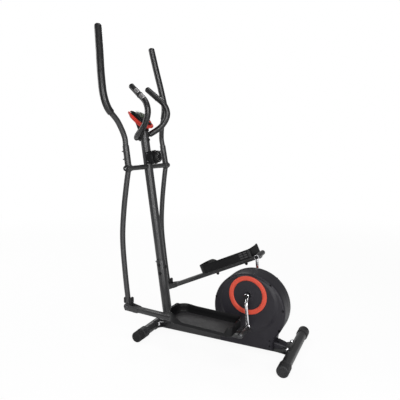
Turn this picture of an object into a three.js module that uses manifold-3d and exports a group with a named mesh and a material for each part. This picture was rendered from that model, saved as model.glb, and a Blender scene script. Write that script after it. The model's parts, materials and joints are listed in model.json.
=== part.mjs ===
// Elliptical trainer with a rear flywheel drive, as an assembly of separate pieces.
// Millimetres; +X is forward (the console end), +Y the user's left, +Z up, and the floor is z = 0.

import * as THREE from 'three';
import { mergeVertices } from 'three/addons/utils/BufferGeometryUtils.js';
import Module from 'manifold-3d';

const wasm = await Module();
wasm.setup();

// ---- clearances -------------------------------------------------------------

const seatGap = 0.3; // between pieces that touch
const runGap = 0.4; // between a shaft and what turns on it

// ---- floor frame ------------------------------------------------------------

const axisHeight = 27.5; // centre line of the beam and the stabilizers
const frontStabilizerX = 198;
const rearStabilizerX = -550;
const stabilizerDiameter = 47;
const stabilizerWall = 1.6;
const overallCapWidth = 446;
const frontCapDiameter = 56;
const frontCapLength = 44;
const rollerDiameter = 54;
const rollerLength = 40;
const rollerStubDiameter = 20;
const rearCapDiameter = 56;
const rearCapLength = 58;
const capEndWall = 8;
const capEndRound = 5;

const beamWidth = 44;
const beamHeight = 50;
const beamWall = 2;
const beamCorner = 12;
const saddleWall = 3;
const saddleWidth = 116;
const saddleArc = 170; // degrees of the tube that a saddle wraps

// ---- post -------------------------------------------------------------------

const postFootX = 134.6; // where the post's axis meets the beam's axis
const postLean = 7.8; // degrees forward
const sleeveDiameter = 50;
const sleeveWall = 2;
const sleeveTop = 353; // along the post from the beam's axis
const postDiameter = 45;
const postWall = 1.8;
const postInsertion = 120;
const postTop = 1045;
const gussetTop = 150;
const gussetRun = 62;
const gussetThickness = 8;
const crossbarAlong = 859;
const crossbarDiameter = 25.4;
const crossbarWall = 2;
const crossbarLength = 410;
const crossbarCapDiameter = 26;
const crossbarCapFlange = 4;
const crossbarPlugLength = 16;

// ---- moving levers ----------------------------------------------------------

const leverInset = 25; // from each end of the crossbar to its lever's plane
const leverSpacing = crossbarLength - 2 * leverInset;
const pivotSleeveDiameter = 32;
const pivotSleeveLength = 40;
const leverTubeDiameter = 25.4;
const leverTubeWall = 1.6;
const leverFoot = { forward: 6, down: 711 };
const leverBends = [[27, 0, -533], [40, 0, -355], [31, 0, -213], [14, 0, -85]]; // forward, out, up
const leverSocketDiameter = 30;
const leverSocketTop = 112;
const handleForwardSlope = 0.147;
const handleSeat = 24;
const handleBends = [[36, 34, 224], [52, 88, 285], [60, 108, 340], [74, 105, 421], [98, 86, 564]];
const handleTop = { forward: 115, out: 73, up: 669 };
const handleGripDiameter = 32;
const handleGripStart = 290;
const gripEndWall = 5;
const footBushDiameter = 26;
const footBushLength = 28;
const footEars = { front: 23, rear: 24, low: 15, high: 48, thickness: 26 };
const footPinDiameter = 10;
const footPinHeadDiameter = 18;
const footPinHead = 6;

// ---- cranks and pedals ------------------------------------------------------

const crankCentre = { x: -338, z: 285 };
const crankRadius = 143;
const crankPhase = 5.4; // degrees that the left crank stands rearward of straight down
const crankHubInner = 74.5; // distances from the machine's middle plane
const crankPlane = 100;
const crankThickness = 11;
const crankHubThickness = 16;
const crankWidth = 16;
const crankHubDiameter = 32;
const crankEyeDiameter = 26;
const axleDiameter = 16;
const crankNutDiameter = 20;
const crankNutLength = 9;

const armLength = 621; // from the lever's foot pin to the crank pin
const armWidth = 36;
const armHeight = 24;
const armDrop = 8; // the tube's centre below the line between the pins
const armWall = 2;
const armCorner = 7;
const armTubeStart = 35;
const cheekThickness = 3.6;
const cheekRadius = 19;
const cheekReach = 66;
const rearSleeveDiameter = 26;
const rearSleeveInner = 111; // from the middle plane
const rearSleeveOuter = 205;
const crankPinDiameter = 12;
const crankPinHeadDiameter = 22;
const crankPinHead = 6;
const openPivotGap = 0.6;

const pedalLength = 338;
const pedalRearGap = 21; // from the pedal's heel to the crank pin
const pedalEnd = armLength - pedalRearGap; // along the arm
const pedalStart = pedalEnd - pedalLength;
const pedalInner = 112; // from the middle plane
const pedalOuter = 258;
const pedalFloor = 8;
const pedalWall = 4;
const pedalLipHeight = 16;
const pedalSideHeight = 40;
const pedalToeHeight = 47;
const pedalToeRadius = 55;
const pedalHeelRun = 32; // how far the high heel wall reaches along the outer side
const pedalHeelRadius = 20;

// ---- drive ------------------------------------------------------------------

const spindleTubeDiameter = 40;
const spindleTubeWall = 3;
const spindleTubeLength = 64;
const bearingWidth = 60;
const stayInner = -12;
const stayOuter = 8;
const beltPlane = -40;
const beltWidth = 10;
const beltThickness = 3;
const drivePulleyRadius = 86;
const drivePulleyWidth = 12;
const smallPulleyRadius = 14;
const flywheelCentre = { x: -302, z: 160 };
const flywheelRadius = 100;
const flywheelMiddle = 21;
const flywheelWidth = 22;
const flywheelAxleDiameter = 10;
const bracketThickness = 4;
const bracketFoot = 42; // height of the ledges that join the brackets to the beam
const leftBracket = 40;
const rightBracket = -52;
const magnetGap = 3;
const magnetThickness = 10;
const magnetWidth = 26;
const magnetArc = { from: -52, to: 60 };

// ---- shells -----------------------------------------------------------------

const shellCentre = { x: -338, z: 209.5 };
const shellRadius = 178;
const shellHalfWidth = 60;
const shellWall = 3;
const shellFillet = 12;
const shellSplit = 0.2;
const skirtBottom = 22;
const skirtFront = -188;
const skirtRear = -460;
const skirtCorner = 33; // degrees below level where the round rim runs into the skirt
const plateauCentre = { x: -338, z: 246 };
const plateauRadius = 132;
const plateauSlope = 14;
const plateauHeight = 10;
const axleHoleDiameter = 30;
const ringOuterRadius = 94;
const ringInnerRadius = 70;
const ringHeight = 5;

// ---- handlebar, console and tension control ----------------------------------

const barDiameter = 20;
const barWall = 1.6;
const barAlong = 1019; // along the post
const barForward = 34; // in front of the post's axis
const barGripDiameter = 27;
const barGripStart = 70; // length of bare tube from the middle to each grip
const barNeck = [[-4, 34, 1], [-40, 58, 22]]; // forward, out and up from the bar's middle
const barBends = [[212, 86, 1100], [188, 96, 1155], [203, 92, 1205], [250, 82, 1248]];
const barTip = { x: 294, y: 74, z: 1286 };
const sensorFirst = 0.76; // places of the sensor plates along the bar, as shares of its half
const sensorLength = 34;
const sensorThickness = 1.2;
const clampWidth = 38;
const clampBelow = 15; // below and above the bar's axis
const clampAbove = 25;
const clampRear = 9; // in front of the post's axis
const clampWall = 7;

const consoleSlope = 34; // degrees
const consoleLength = 136;
const consoleWidth = 118;
const consoleDepth = 26;
const consoleCentre = { x: 292, z: 1128 };
const consoleRimWidth = 12;
const coverHeight = 12;
const screenLength = 54;
const screenWidth = 72;
const screenThickness = 2;
const buttonDiameter = 13;
const buttonHeight = 5;
const buttonSpacing = 26;
const buttonTravel = 1;

const collarAlong = 905;
const collarHeight = 62;
const collarWall = 4;
const collarFront = -5; // in front of it the post stays bare
const collarReach = 55;
const dialDiameter = 66;
const dialLength = 20;
const dialSpindleDiameter = 10;
const dialTravelGap = 0.5;

const capSides = 20; // facets round the stabilizers and their caps
const sides = 16; // round a post or a sleeve
const fewSides = 12;
const barSides = 8; // round a bent tube
const rad = THREE.MathUtils.degToRad;

// ---- finishes ----------------------------------------------------------------

const finishes = {
  paint: { color: 0x35373a, roughness: 0.42, metalness: 0.25 },
  plastic: { color: 0x1d1e20, roughness: 0.55, metalness: 0 },
  shell: { color: 0x2a2c31, roughness: 0.5, metalness: 0 },
  foam: { color: 0x17181a, roughness: 0.9, metalness: 0 },
  red: { color: 0xe0482c, roughness: 0.45, metalness: 0 },
  chrome: { color: 0xc9ccd0, roughness: 0.18, metalness: 1 },
  steel: { color: 0x9a9da1, roughness: 0.35, metalness: 0.9 },
  iron: { color: 0x4a4b4d, roughness: 0.5, metalness: 0.8 },
  rubber: { color: 0x141414, roughness: 0.8, metalness: 0 },
  glass: { color: 0x8d9a92, roughness: 0.15, metalness: 0 },
};

// ---- making, joining and cutting solids ---------------------------------------

function toSolid(geometry) {
  const bare = geometry.clone();
  bare.deleteAttribute('normal');
  bare.deleteAttribute('uv');
  const merged = mergeVertices(bare);
  const vertProperties = new Float32Array(merged.attributes.position.array);
  const triVerts = new Uint32Array(merged.index.array);
  return new wasm.Manifold(new wasm.Mesh({ numProp: 3, vertProperties, triVerts }));
}

function toGeometry(solid) {
  const mesh = solid.getMesh();
  const geometry = new THREE.BufferGeometry();
  geometry.setAttribute('position', new THREE.BufferAttribute(new Float32Array(mesh.vertProperties), 3));
  geometry.setIndex(new THREE.BufferAttribute(new Uint32Array(mesh.triVerts), 1));
  return geometry;
}

function join(first, ...others) {
  return toGeometry(others.reduce((whole, next) => whole.add(toSolid(next)), toSolid(first)));
}

function cut(first, ...tools) {
  return toGeometry(tools.reduce((whole, tool) => whole.subtract(toSolid(tool)), toSolid(first)));
}

function common(first, second) {
  return toGeometry(toSolid(first).intersect(toSolid(second)));
}

// Mirror a piece of the left side to the right side.
function forSide(side, geometry) {
  if (side > 0) return geometry;
  const copy = geometry.clone();
  copy.scale(1, -1, 1);
  const index = copy.index.array;
  for (let corner = 0; corner < index.length; corner += 3) {
    [index[corner + 1], index[corner + 2]] = [index[corner + 2], index[corner + 1]];
  }
  return copy;
}

// The circumradius of a bore with flat facets that clears a shaft all round.
function boreRadius(shaftDiameter, clearance, count = sides) {
  return (shaftDiameter / 2 + clearance) / Math.cos(Math.PI / count);
}

function circle(radius) {
  return new THREE.Shape().absarc(0, 0, radius, 0, 2 * Math.PI);
}

function roundedBox(width, height, corner) {
  const x = width / 2 - corner;
  const y = height / 2 - corner;
  return new THREE.Shape()
    .absarc(x, y, corner, 0, Math.PI / 2)
    .absarc(-x, y, corner, Math.PI / 2, Math.PI)
    .absarc(-x, -y, corner, Math.PI, 1.5 * Math.PI)
    .absarc(x, -y, corner, 1.5 * Math.PI, 2 * Math.PI);
}

// Prisms of a shape between two places on an axis. X takes (y, z) shapes, Y takes (x, z) and Z takes (x, y).
function prismZ(shape, from, to, curveSegments = sides / 2) {
  const prism = new THREE.ExtrudeGeometry(shape, { depth: to - from, bevelEnabled: false, curveSegments });
  return prism.translate(0, 0, from);
}

function prismX(shape, from, to, curveSegments) {
  const turn = new THREE.Matrix4().makeBasis(
    new THREE.Vector3(0, 1, 0), new THREE.Vector3(0, 0, 1), new THREE.Vector3(1, 0, 0));
  return prismZ(shape, from, to, curveSegments).applyMatrix4(turn);
}

function prismY(shape, from, to, curveSegments) {
  return prismZ(shape, -to, -from, curveSegments).rotateX(Math.PI / 2);
}

function block(x, y, z) {
  const size = [x, y, z].map(([from, to]) => to - from);
  const middle = [x, y, z].map(([from, to]) => (from + to) / 2);
  return new THREE.BoxGeometry(...size).translate(...middle);
}

// A turned piece on the Y axis from (radius, along) points that start and end on the axis or close.
function turnedY(profile, count = sides) {
  const points = profile.map(([radius, along]) => new THREE.Vector2(radius, along));
  return new THREE.LatheGeometry(points, count);
}

function turnedX(profile, count) {
  return turnedY(profile, count).rotateZ(-Math.PI / 2);
}

function turnedZ(profile, count) {
  return turnedY(profile, count).rotateX(Math.PI / 2);
}

function rodY(diameter, from, to, count = sides) {
  return prismY(circle(diameter / 2), from, to, count / 2);
}

function sweep(shape, path, steps, count = fewSides) {
  return new THREE.ExtrudeGeometry(shape, { steps, extrudePath: path, curveSegments: count / 2 });
}

function smoothPath(points) {
  return new THREE.CatmullRomCurve3(points.map(([x, y, z]) => new THREE.Vector3(x, y, z)), false, 'centripetal');
}

function bentTube(path, steps, diameter, wall) {
  const section = circle(diameter / 2);
  section.holes.push(circle(diameter / 2 - wall));
  return toGeometry(toSolid(sweep(section, path, steps, barSides)));
}

function piece(name, geometry, finish) {
  const mesh = new THREE.Mesh(geometry, new THREE.MeshStandardMaterial(finishes[finish]));
  mesh.name = name;
  return mesh;
}

function groupAt(x, y, z, turn = 0) {
  const group = new THREE.Group();
  group.position.set(x, y, z);
  group.rotation.y = turn;
  return group;
}

// ---- linkage geometry ----------------------------------------------------------

function onPost(along, forward = 0) {
  const lean = rad(postLean);
  return {
    x: postFootX + along * Math.sin(lean) + forward * Math.cos(lean),
    z: axisHeight + along * Math.cos(lean) - forward * Math.sin(lean),
  };
}

const leverPivot = onPost(crossbarAlong);
const leverReach = Math.hypot(leverFoot.forward, leverFoot.down);

// The angles about Y of crank, lever and arm when the loop of crank, arm and lever is closed.
function linkage(crankTurn) {
  const pin = {
    x: crankCentre.x - crankRadius * Math.sin(crankTurn),
    z: crankCentre.z - crankRadius * Math.cos(crankTurn),
  };
  const distance = Math.hypot(leverPivot.x - pin.x, leverPivot.z - pin.z);
  const towardPin = Math.atan2(leverPivot.x - pin.x, leverPivot.z - pin.z);
  const cosine = (leverReach ** 2 + distance ** 2 - armLength ** 2) / (2 * leverReach * distance);
  const footAngle = towardPin - Math.acos(cosine);
  const foot = {
    x: leverPivot.x - leverReach * Math.sin(footAngle),
    z: leverPivot.z - leverReach * Math.cos(footAngle),
  };
  const leverTurn = footAngle + Math.atan2(leverFoot.forward, leverFoot.down);
  const armTurn = Math.atan2(pin.z - foot.z, foot.x - pin.x);
  return { crankTurn, leverTurn, armTurn, foot, pin };
}

const linkages = {
  left: linkage(rad(crankPhase)),
  right: linkage(rad(crankPhase) + Math.PI),
};

// ---- floor frame -----------------------------------------------------------------

function beamShape(inset) {
  return roundedBox(beamWidth - 2 * inset, beamHeight - 2 * inset, beamCorner - inset);
}

function saddleAt(x, facing) {
  const inner = stabilizerDiameter / 2 + seatGap;
  const outer = inner + saddleWall;
  const half = rad(saddleArc / 2);
  const middle = facing > 0 ? 0 : Math.PI;
  const shape = new THREE.Shape()
    .absarc(0, 0, outer, middle - half, middle + half, false)
    .absarc(0, 0, inner, middle + half, middle - half, true);
  return prismY(shape, -saddleWidth / 2, saddleWidth / 2, 6).translate(x, 0, axisHeight);
}

function tubeSpace(x) {
  const diameter = 2 * boreRadius(stabilizerDiameter, seatGap, capSides);
  return rodY(diameter, -beamWidth, beamWidth, capSides).translate(x, 0, axisHeight);
}

function tilted(geometry) {
  return geometry.rotateY(rad(postLean)).translate(postFootX, 0, axisHeight);
}

function lowerSleeve() {
  return tilted(prismZ(circle(sleeveDiameter / 2), beamHeight / 2 - 4, sleeveTop));
}

function lowerSleeveBore() {
  return tilted(prismZ(circle(sleeveDiameter / 2 - sleeveWall), beamHeight / 2 - beamWall, sleeveTop + 1));
}

function gusset() {
  const top = onPost(gussetTop);
  const beamTop = axisHeight + beamHeight / 2;
  const shape = new THREE.Shape()
    .moveTo(postFootX, beamTop - 4)
    .lineTo(postFootX - gussetRun, beamTop - 4)
    .lineTo(postFootX - gussetRun, beamTop + 6)
    .quadraticCurveTo(top.x - sleeveDiameter / 2 - 4, beamTop + 10, top.x - sleeveDiameter / 2 + 4, top.z)
    .lineTo(top.x, top.z);
  return prismY(shape, -gussetThickness / 2, gussetThickness / 2, 6);
}

function spindleStay() {
  const shape = new THREE.Shape()
    .moveTo(-456, axisHeight)
    .lineTo(-404, axisHeight)
    .lineTo(crankCentre.x + 12, crankCentre.z)
    .lineTo(crankCentre.x - 16, crankCentre.z + 6);
  return prismY(shape, stayInner, stayOuter);
}

// An upright plate beside the beam that carries one end of the flywheel's axle.
function axleBracket(plane) {
  const out = Math.sign(plane);
  const upright = [plane - bracketThickness / 2, plane + bracketThickness / 2];
  const foot = [out * (beamWidth / 2 - 2), plane].sort((a, b) => a - b);
  const shape = new THREE.Shape()
    .moveTo(flywheelCentre.x - 32, bracketFoot)
    .lineTo(flywheelCentre.x + 32, bracketFoot)
    .lineTo(flywheelCentre.x + 14, flywheelCentre.z)
    .absarc(flywheelCentre.x, flywheelCentre.z, 14, 0, Math.PI)
    .lineTo(flywheelCentre.x - 32, bracketFoot);
  const length = [flywheelCentre.x - 32, flywheelCentre.x + 32];
  const ledge = block(length, foot, [bracketFoot, bracketFoot + bracketThickness]);
  return join(prismY(shape, ...upright, 3), ledge);
}

function magnetPivot() {
  const angle = rad(magnetArc.from);
  const reach = flywheelRadius + magnetGap + magnetThickness / 2;
  return {
    x: flywheelCentre.x + reach * Math.cos(angle),
    z: flywheelCentre.z + reach * Math.sin(angle),
  };
}

function magnetLug() {
  const pivot = magnetPivot();
  const plane = flywheelMiddle - magnetWidth / 2;
  const shape = new THREE.Shape()
    .moveTo(pivot.x + 14, axisHeight + beamHeight / 2 - 4)
    .lineTo(pivot.x + 6, pivot.z)
    .absarc(pivot.x, pivot.z, 6, 0, Math.PI)
    .lineTo(pivot.x - 14, axisHeight + beamHeight / 2 - 4);
  const pin = rodY(6, plane - 6, plane + 18, 8).translate(pivot.x, 0, pivot.z);
  return join(prismY(shape, plane - 6, plane - 2, 3), pin);
}

function mainFrame() {
  const beam = prismX(beamShape(0), rearStabilizerX, frontStabilizerX, 1);
  const spindleTube = rodY(spindleTubeDiameter, -spindleTubeLength / 2, spindleTubeLength / 2);
  spindleTube.translate(crankCentre.x, 0, crankCentre.z);
  const outside = join(
    beam.translate(0, 0, axisHeight), saddleAt(frontStabilizerX, -1), saddleAt(rearStabilizerX, 1),
    lowerSleeve(), gusset(), spindleStay(), spindleTube,
    axleBracket(leftBracket), axleBracket(rightBracket), magnetLug());
  const beamBore = prismX(beamShape(beamWall), rearStabilizerX - 1, frontStabilizerX + 1, 1);
  const spindleBore = rodY(spindleTubeDiameter - 2 * spindleTubeWall, -spindleTubeLength, spindleTubeLength);
  const axleBore = rodY(2 * boreRadius(flywheelAxleDiameter, seatGap, fewSides), -80, 80, fewSides);
  return cut(
    outside, tubeSpace(frontStabilizerX), tubeSpace(rearStabilizerX),
    beamBore.translate(0, 0, axisHeight), lowerSleeveBore(),
    spindleBore.translate(crankCentre.x, 0, crankCentre.z),
    axleBore.translate(flywheelCentre.x, 0, flywheelCentre.z));
}

function stabilizer(length) {
  const tube = rodY(stabilizerDiameter, -length / 2, length / 2, capSides);
  return cut(tube, rodY(stabilizerDiameter - 2 * stabilizerWall, -length, length, fewSides));
}

// A cap in its left-hand place: a sleeve over the tube's end with a flat foot at floor level.
function capBody(diameter, from, to, stub = []) {
  const radius = diameter / 2;
  const bore = boreRadius(stabilizerDiameter, seatGap, capSides);
  const end = stub.length ? stub : [[0, to]];
  const body = turnedY([
    [0, to - capEndWall], [bore, to - capEndWall], [bore, from], [radius - 2, from], [radius, from + 2],
    [radius, to - capEndRound], [radius - capEndRound * 0.3, to - capEndRound * 0.3], [radius - capEndRound, to],
    ...end,
  ], capSides);
  const belowFloor = block([-radius, radius], [from - 1, to + 1], [-2 * radius, -axisHeight]);
  return cut(body, belowFloor);
}

function frontCap(side) {
  const to = overallCapWidth / 2 - rollerLength - runGap;
  const stubEnd = overallCapWidth / 2 - capEndWall - runGap;
  const stub = [[rollerStubDiameter / 2, to], [rollerStubDiameter / 2, stubEnd], [0, stubEnd]];
  return forSide(side, capBody(frontCapDiameter, to - frontCapLength, to, stub));
}

function rearCap(side) {
  const to = overallCapWidth / 2;
  return forSide(side, capBody(rearCapDiameter, to - rearCapLength, to));
}

function roller(side) {
  const to = overallCapWidth / 2;
  const from = to - rollerLength;
  const radius = rollerDiameter / 2;
  const bore = boreRadius(rollerStubDiameter, runGap, capSides);
  const wheel = turnedY([
    [0, to - capEndWall], [bore, to - capEndWall], [bore, from], [radius - 3, from], [radius, from + 3],
    [radius, to - capEndRound], [radius - capEndRound * 0.3, to - capEndRound * 0.3], [radius - capEndRound, to],
    [0, to],
  ], capSides);
  return forSide(side, wheel);
}

// ---- post -------------------------------------------------------------------------

function uprightPost() {
  const from = sleeveTop - postInsertion;
  const tube = cut(
    prismZ(circle(postDiameter / 2), from, postTop),
    prismZ(circle(postDiameter / 2 - postWall), from - 1, postTop + 1, fewSides / 2));
  const bar = rodY(crossbarDiameter, -crossbarLength / 2, crossbarLength / 2).translate(0, 0, crossbarAlong);
  const bore = rodY(crossbarDiameter - 2 * crossbarWall, -crossbarLength, crossbarLength, fewSides);
  return cut(join(tube, bar), bore.translate(0, 0, crossbarAlong));
}

function crossbarCap(side) {
  const face = crossbarLength / 2 + seatGap;
  const plug = crossbarDiameter / 2 - crossbarWall - 2 * seatGap;
  const radius = crossbarCapDiameter / 2;
  const cap = turnedY([
    [0, face - crossbarPlugLength], [plug, face - crossbarPlugLength], [plug, face], [radius, face],
    [radius, face + crossbarCapFlange - 2], [radius - 3, face + crossbarCapFlange], [0, face + crossbarCapFlange],
  ], fewSides);
  return forSide(side, cap);
}

// ---- moving levers ------------------------------------------------------------------

// The lower lever tube bows forward between the foot and the crossbar.
function leverPath() {
  const { forward, down } = leverFoot;
  return smoothPath([
    [forward, 0, -down], ...leverBends, [0, 0, 0],
  ]);
}

function handlePath() {
  const straight = [handleSeat, 66, leverSocketTop, 150].map((up) => [up * handleForwardSlope, 0, up]);
  return smoothPath([
    ...straight,
    ...handleBends,
    [handleTop.forward, handleTop.out, handleTop.up],
  ]);
}

function alongLever(geometry) {
  return geometry.rotateY(Math.atan(handleForwardSlope));
}

const leverSteps = 9;

// The plastic-covered block in front of and behind the tube's foot.
function leverEars() {
  const { front, rear, low, high, thickness } = footEars;
  const corner = 12;
  const shape = new THREE.Shape()
    .moveTo(-rear, low)
    .lineTo(front, low)
    .lineTo(front, high - corner)
    .quadraticCurveTo(front, high, front - corner, high)
    .lineTo(-rear + corner, high)
    .quadraticCurveTo(-rear, high, -rear, high - corner);
  return prismY(shape, -thickness / 2, thickness / 2, 3);
}

function lever(side) {
  const tube = sweep(circle(leverTubeDiameter / 2), leverPath(), leverSteps, 10);
  const inside = sweep(circle(leverTubeDiameter / 2 - leverTubeWall), leverPath(), leverSteps, barSides);
  const stopShort = block([-60, 60], [-60, 60], [-leverFoot.down - 60, -leverFoot.down + footBushDiameter]);
  const sleeve = rodY(pivotSleeveDiameter, -pivotSleeveLength / 2, pivotSleeveLength / 2);
  const socket = alongLever(prismZ(circle(leverSocketDiameter / 2), 0, leverSocketTop));
  const bush = rodY(footBushDiameter, -footBushLength / 2, footBushLength / 2);
  const socketBore = alongLever(
    prismZ(circle(boreRadius(leverTubeDiameter, seatGap, sides)), handleSeat - seatGap, leverSocketTop + 1));
  const barBore = rodY(2 * boreRadius(crossbarDiameter, runGap), -pivotSleeveLength, pivotSleeveLength);
  const pinBore = rodY(2 * boreRadius(footPinDiameter, seatGap, fewSides), -footBushLength, footBushLength, fewSides);
  const foot = [leverFoot.forward, 0, -leverFoot.down];
  const whole = join(tube, sleeve, socket, bush.translate(...foot), leverEars().translate(...foot));
  return forSide(side, cut(whole, cut(inside, stopShort), barBore, socketBore, pinBore.translate(...foot)));
}

const handleSteps = 15;

function handle(side) {
  return forSide(side, bentTube(handlePath(), handleSteps, leverTubeDiameter, leverTubeWall));
}

// A foam grip over the end of a bent tube: closed at the tip, cut by the tube's own sweep.
function gripPath(path, steps, startShare) {
  const from = Math.ceil(startShare * steps) / steps;
  const points = [];
  for (let step = from; step < 1 + 0.5 / steps; step += 1 / steps) points.push(path.getPointAt(Math.min(step, 1)));
  const end = path.getPointAt(1).addScaledVector(path.getTangentAt(1), gripEndWall);
  return new THREE.CatmullRomCurve3([...points, end]);
}

function foamGrip(path, steps, tubeDiameter, gripDiameter, startShare) {
  const outerPath = gripPath(path, steps, startShare);
  const outer = sweep(circle(gripDiameter / 2), outerPath, outerPath.points.length, barSides);
  const spaceRadius = tubeDiameter / 2 + seatGap;
  const space = sweep(circle(spaceRadius), path, steps, barSides);
  const endSpace = new THREE.CylinderGeometry(spaceRadius, spaceRadius, 2, barSides);
  const up = new THREE.Vector3(0, 1, 0);
  endSpace.applyQuaternion(new THREE.Quaternion().setFromUnitVectors(up, path.getTangentAt(1)));
  endSpace.translate(...path.getPointAt(1).toArray());
  return cut(outer, space, endSpace);
}

function handleGrip(side) {
  const path = handlePath();
  const share = (handleGripStart - handleSeat) / path.getLength();
  return forSide(side, foamGrip(path, handleSteps, leverTubeDiameter, handleGripDiameter, share));
}

function leverPin(side) {
  const reach = armWidth / 2 + seatGap;
  const shank = footPinDiameter / 2;
  const head = footPinHeadDiameter / 2;
  const pin = turnedY([
    [0, -reach - footPinHead], [head - 3, -reach - footPinHead], [head, -reach - footPinHead + 3], [head, -reach],
    [shank, -reach], [shank, reach], [head, reach], [head, reach + footPinHead - 3],
    [head - 3, reach + footPinHead], [0, reach + footPinHead],
  ], fewSides);
  return forSide(side, pin);
}

// ---- cranks, pedal arms and pedals ----------------------------------------------------

// In the crankset's group, whose origin is on the crank axis in the middle plane.
function crank(side) {
  const middle = crankHubInner + crankThickness / 2;
  const path = new THREE.CatmullRomCurve3([
    new THREE.Vector3(0, middle, 0), new THREE.Vector3(0, middle + 2, -12),
    new THREE.Vector3(0, crankPlane - 2, -34), new THREE.Vector3(0, crankPlane, -52),
    new THREE.Vector3(0, crankPlane, -90),
    new THREE.Vector3(0, crankPlane, -crankRadius),
  ]);
  const bar = sweep(roundedBox(crankWidth, crankThickness, 4), path, 7, 2);
  const hub = rodY(crankHubDiameter, crankHubInner, crankHubInner + crankHubThickness);
  const eye = rodY(crankEyeDiameter, crankPlane - crankThickness / 2, crankPlane + crankThickness / 2);
  const axleBore = rodY(2 * boreRadius(axleDiameter, seatGap), 0, 200);
  const eyeBore = rodY(crankPinDiameter, 0, 200, fewSides).translate(0, 0, -crankRadius);
  return forSide(side, cut(join(bar, hub, eye.translate(0, 0, -crankRadius)), axleBore, eyeBore));
}

function crankAxle() {
  const seat = crankHubInner + crankHubThickness + seatGap;
  const shank = axleDiameter / 2;
  const nut = crankNutDiameter / 2;
  return turnedY([
    [0, -seat - crankNutLength], [nut - 3, -seat - crankNutLength], [nut, -seat - crankNutLength + 3], [nut, -seat],
    [shank, -seat], [shank, seat], [nut, seat], [nut, seat + crankNutLength - 3],
    [nut - 3, seat + crankNutLength], [0, seat + crankNutLength],
  ]);
}

function armSection(inset) {
  return roundedBox(armWidth - 2 * inset, armHeight - 2 * inset, armCorner - inset);
}

// In the arm's own group: the origin is on the lever's foot pin, the arm runs toward -X.
function pedalArm(side) {
  const spread = leverSpacing / 2;
  const tube = prismX(armSection(0), -armLength + rearSleeveDiameter / 4, -armTubeStart, 1);
  const bottom = -armDrop - armHeight / 2;
  const cheekShape = new THREE.Shape()
    .moveTo(-cheekReach, bottom)
    .lineTo(cheekRadius * 0.6, bottom)
    .lineTo(cheekRadius, -4)
    .absarc(0, 0, cheekRadius, 0, Math.PI * 0.75)
    .lineTo(-cheekReach, bottom + armHeight);
  const cheeks = [-1, 1].map((hand) => {
    const faces = [hand * (armWidth / 2 - cheekThickness), hand * armWidth / 2].sort((a, b) => a - b);
    return prismY(cheekShape, ...faces, 5);
  });
  const sleeve = rodY(rearSleeveDiameter, rearSleeveInner - spread, rearSleeveOuter - spread);
  const bore = prismX(armSection(armWall), -armLength + rearSleeveDiameter / 4, 0, 1);
  const pinBore = rodY(2 * boreRadius(crankPinDiameter, seatGap), -spread, spread);
  const footBore = rodY(2 * boreRadius(footPinDiameter, seatGap, fewSides), -armWidth, armWidth, fewSides);
  const whole = join(
    cut(tube.translate(0, 0, -armDrop), bore.translate(0, 0, -armDrop)), ...cheeks,
    sleeve.translate(-armLength, 0, 0));
  return forSide(side, cut(whole, footBore, pinBore.translate(-armLength, 0, 0)));
}

function crankPin(side) {
  const spread = leverSpacing / 2;
  const start = crankPlane + crankThickness / 2 + openPivotGap - spread;
  const seat = rearSleeveOuter + seatGap - spread;
  const shank = crankPinDiameter / 2;
  const head = crankPinHeadDiameter / 2;
  const pin = turnedY([
    [0, start], [shank, start], [shank, seat], [head, seat], [head, seat + crankPinHead - 3],
    [head - 4, seat + crankPinHead], [0, seat + crankPinHead],
  ]);
  return forSide(side, pin.translate(-armLength, 0, 0));
}

function trayOutline(inset) {
  const spread = leverSpacing / 2;
  const front = -pedalStart - inset;
  const back = -pedalEnd + inset;
  const inner = pedalInner - spread + inset;
  const outer = pedalOuter - spread - inset;
  const toe = pedalToeRadius - inset;
  const heel = pedalHeelRadius - inset;
  return new THREE.Shape()
    .absarc(front - toe, outer - toe, toe, 0, Math.PI / 2)
    .absarc(back + heel, outer - heel, heel, Math.PI / 2, Math.PI)
    .absarc(back + heel, inner + heel, heel, Math.PI, 1.5 * Math.PI)
    .absarc(front - toe, inner + toe, toe, 1.5 * Math.PI, 2 * Math.PI);
}

// A tray with a high inner wall, a higher toe wall and a low outer lip, in the arm's group.
function pedal(side) {
  const spread = leverSpacing / 2;
  const bottom = armHeight / 2 - armDrop + seatGap;
  const top = bottom + pedalToeHeight;
  const floor = bottom + pedalFloor;
  const body = prismZ(trayOutline(0), bottom, top, 2);
  const inside = prismZ(trayOutline(pedalWall), floor, top + 1, 2);
  const aboveSides = new THREE.Shape()
    .moveTo(-pedalStart + 1, top)
    .lineTo(-pedalStart - pedalToeRadius * 0.8, top)
    .quadraticCurveTo(-pedalStart - pedalToeRadius * 1.3, bottom + pedalSideHeight,
      -pedalStart - pedalToeRadius * 1.8, bottom + pedalSideHeight)
    .lineTo(-pedalEnd - 1, bottom + pedalSideHeight)
    .lineTo(-pedalEnd - 1, top + 1)
    .lineTo(-pedalStart + 1, top + 1);
  const aboveLip = new THREE.Shape()
    .moveTo(-pedalStart - pedalToeRadius * 0.6, top + 1)
    .lineTo(-pedalStart - pedalToeRadius * 1.6, bottom + pedalLipHeight)
    .lineTo(-pedalEnd + pedalHeelRun, bottom + pedalLipHeight)
    .lineTo(-pedalEnd + pedalHeelRun * 0.6, top + 1);
  const outerHalf = [pedalInner - spread + pedalToeRadius, pedalOuter - spread + 1];
  return forSide(side, cut(
    body, inside, prismY(aboveSides, pedalInner - spread - 1, pedalOuter - spread + 1, 4),
    prismY(aboveLip, ...outerHalf)));
}

// ---- drive ------------------------------------------------------------------------------

function crankBearing() {
  const outer = spindleTubeDiameter / 2 - spindleTubeWall - seatGap;
  const inner = boreRadius(axleDiameter, runGap);
  const half = bearingWidth / 2;
  const lip = spindleTubeLength / 2 + seatGap;
  return turnedY([
    [inner, -half], [outer, -half], [outer, lip], [outer + 2, lip], [outer + 2, lip + 3], [inner, lip + 3],
    [inner, -half],
  ]);
}

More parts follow.
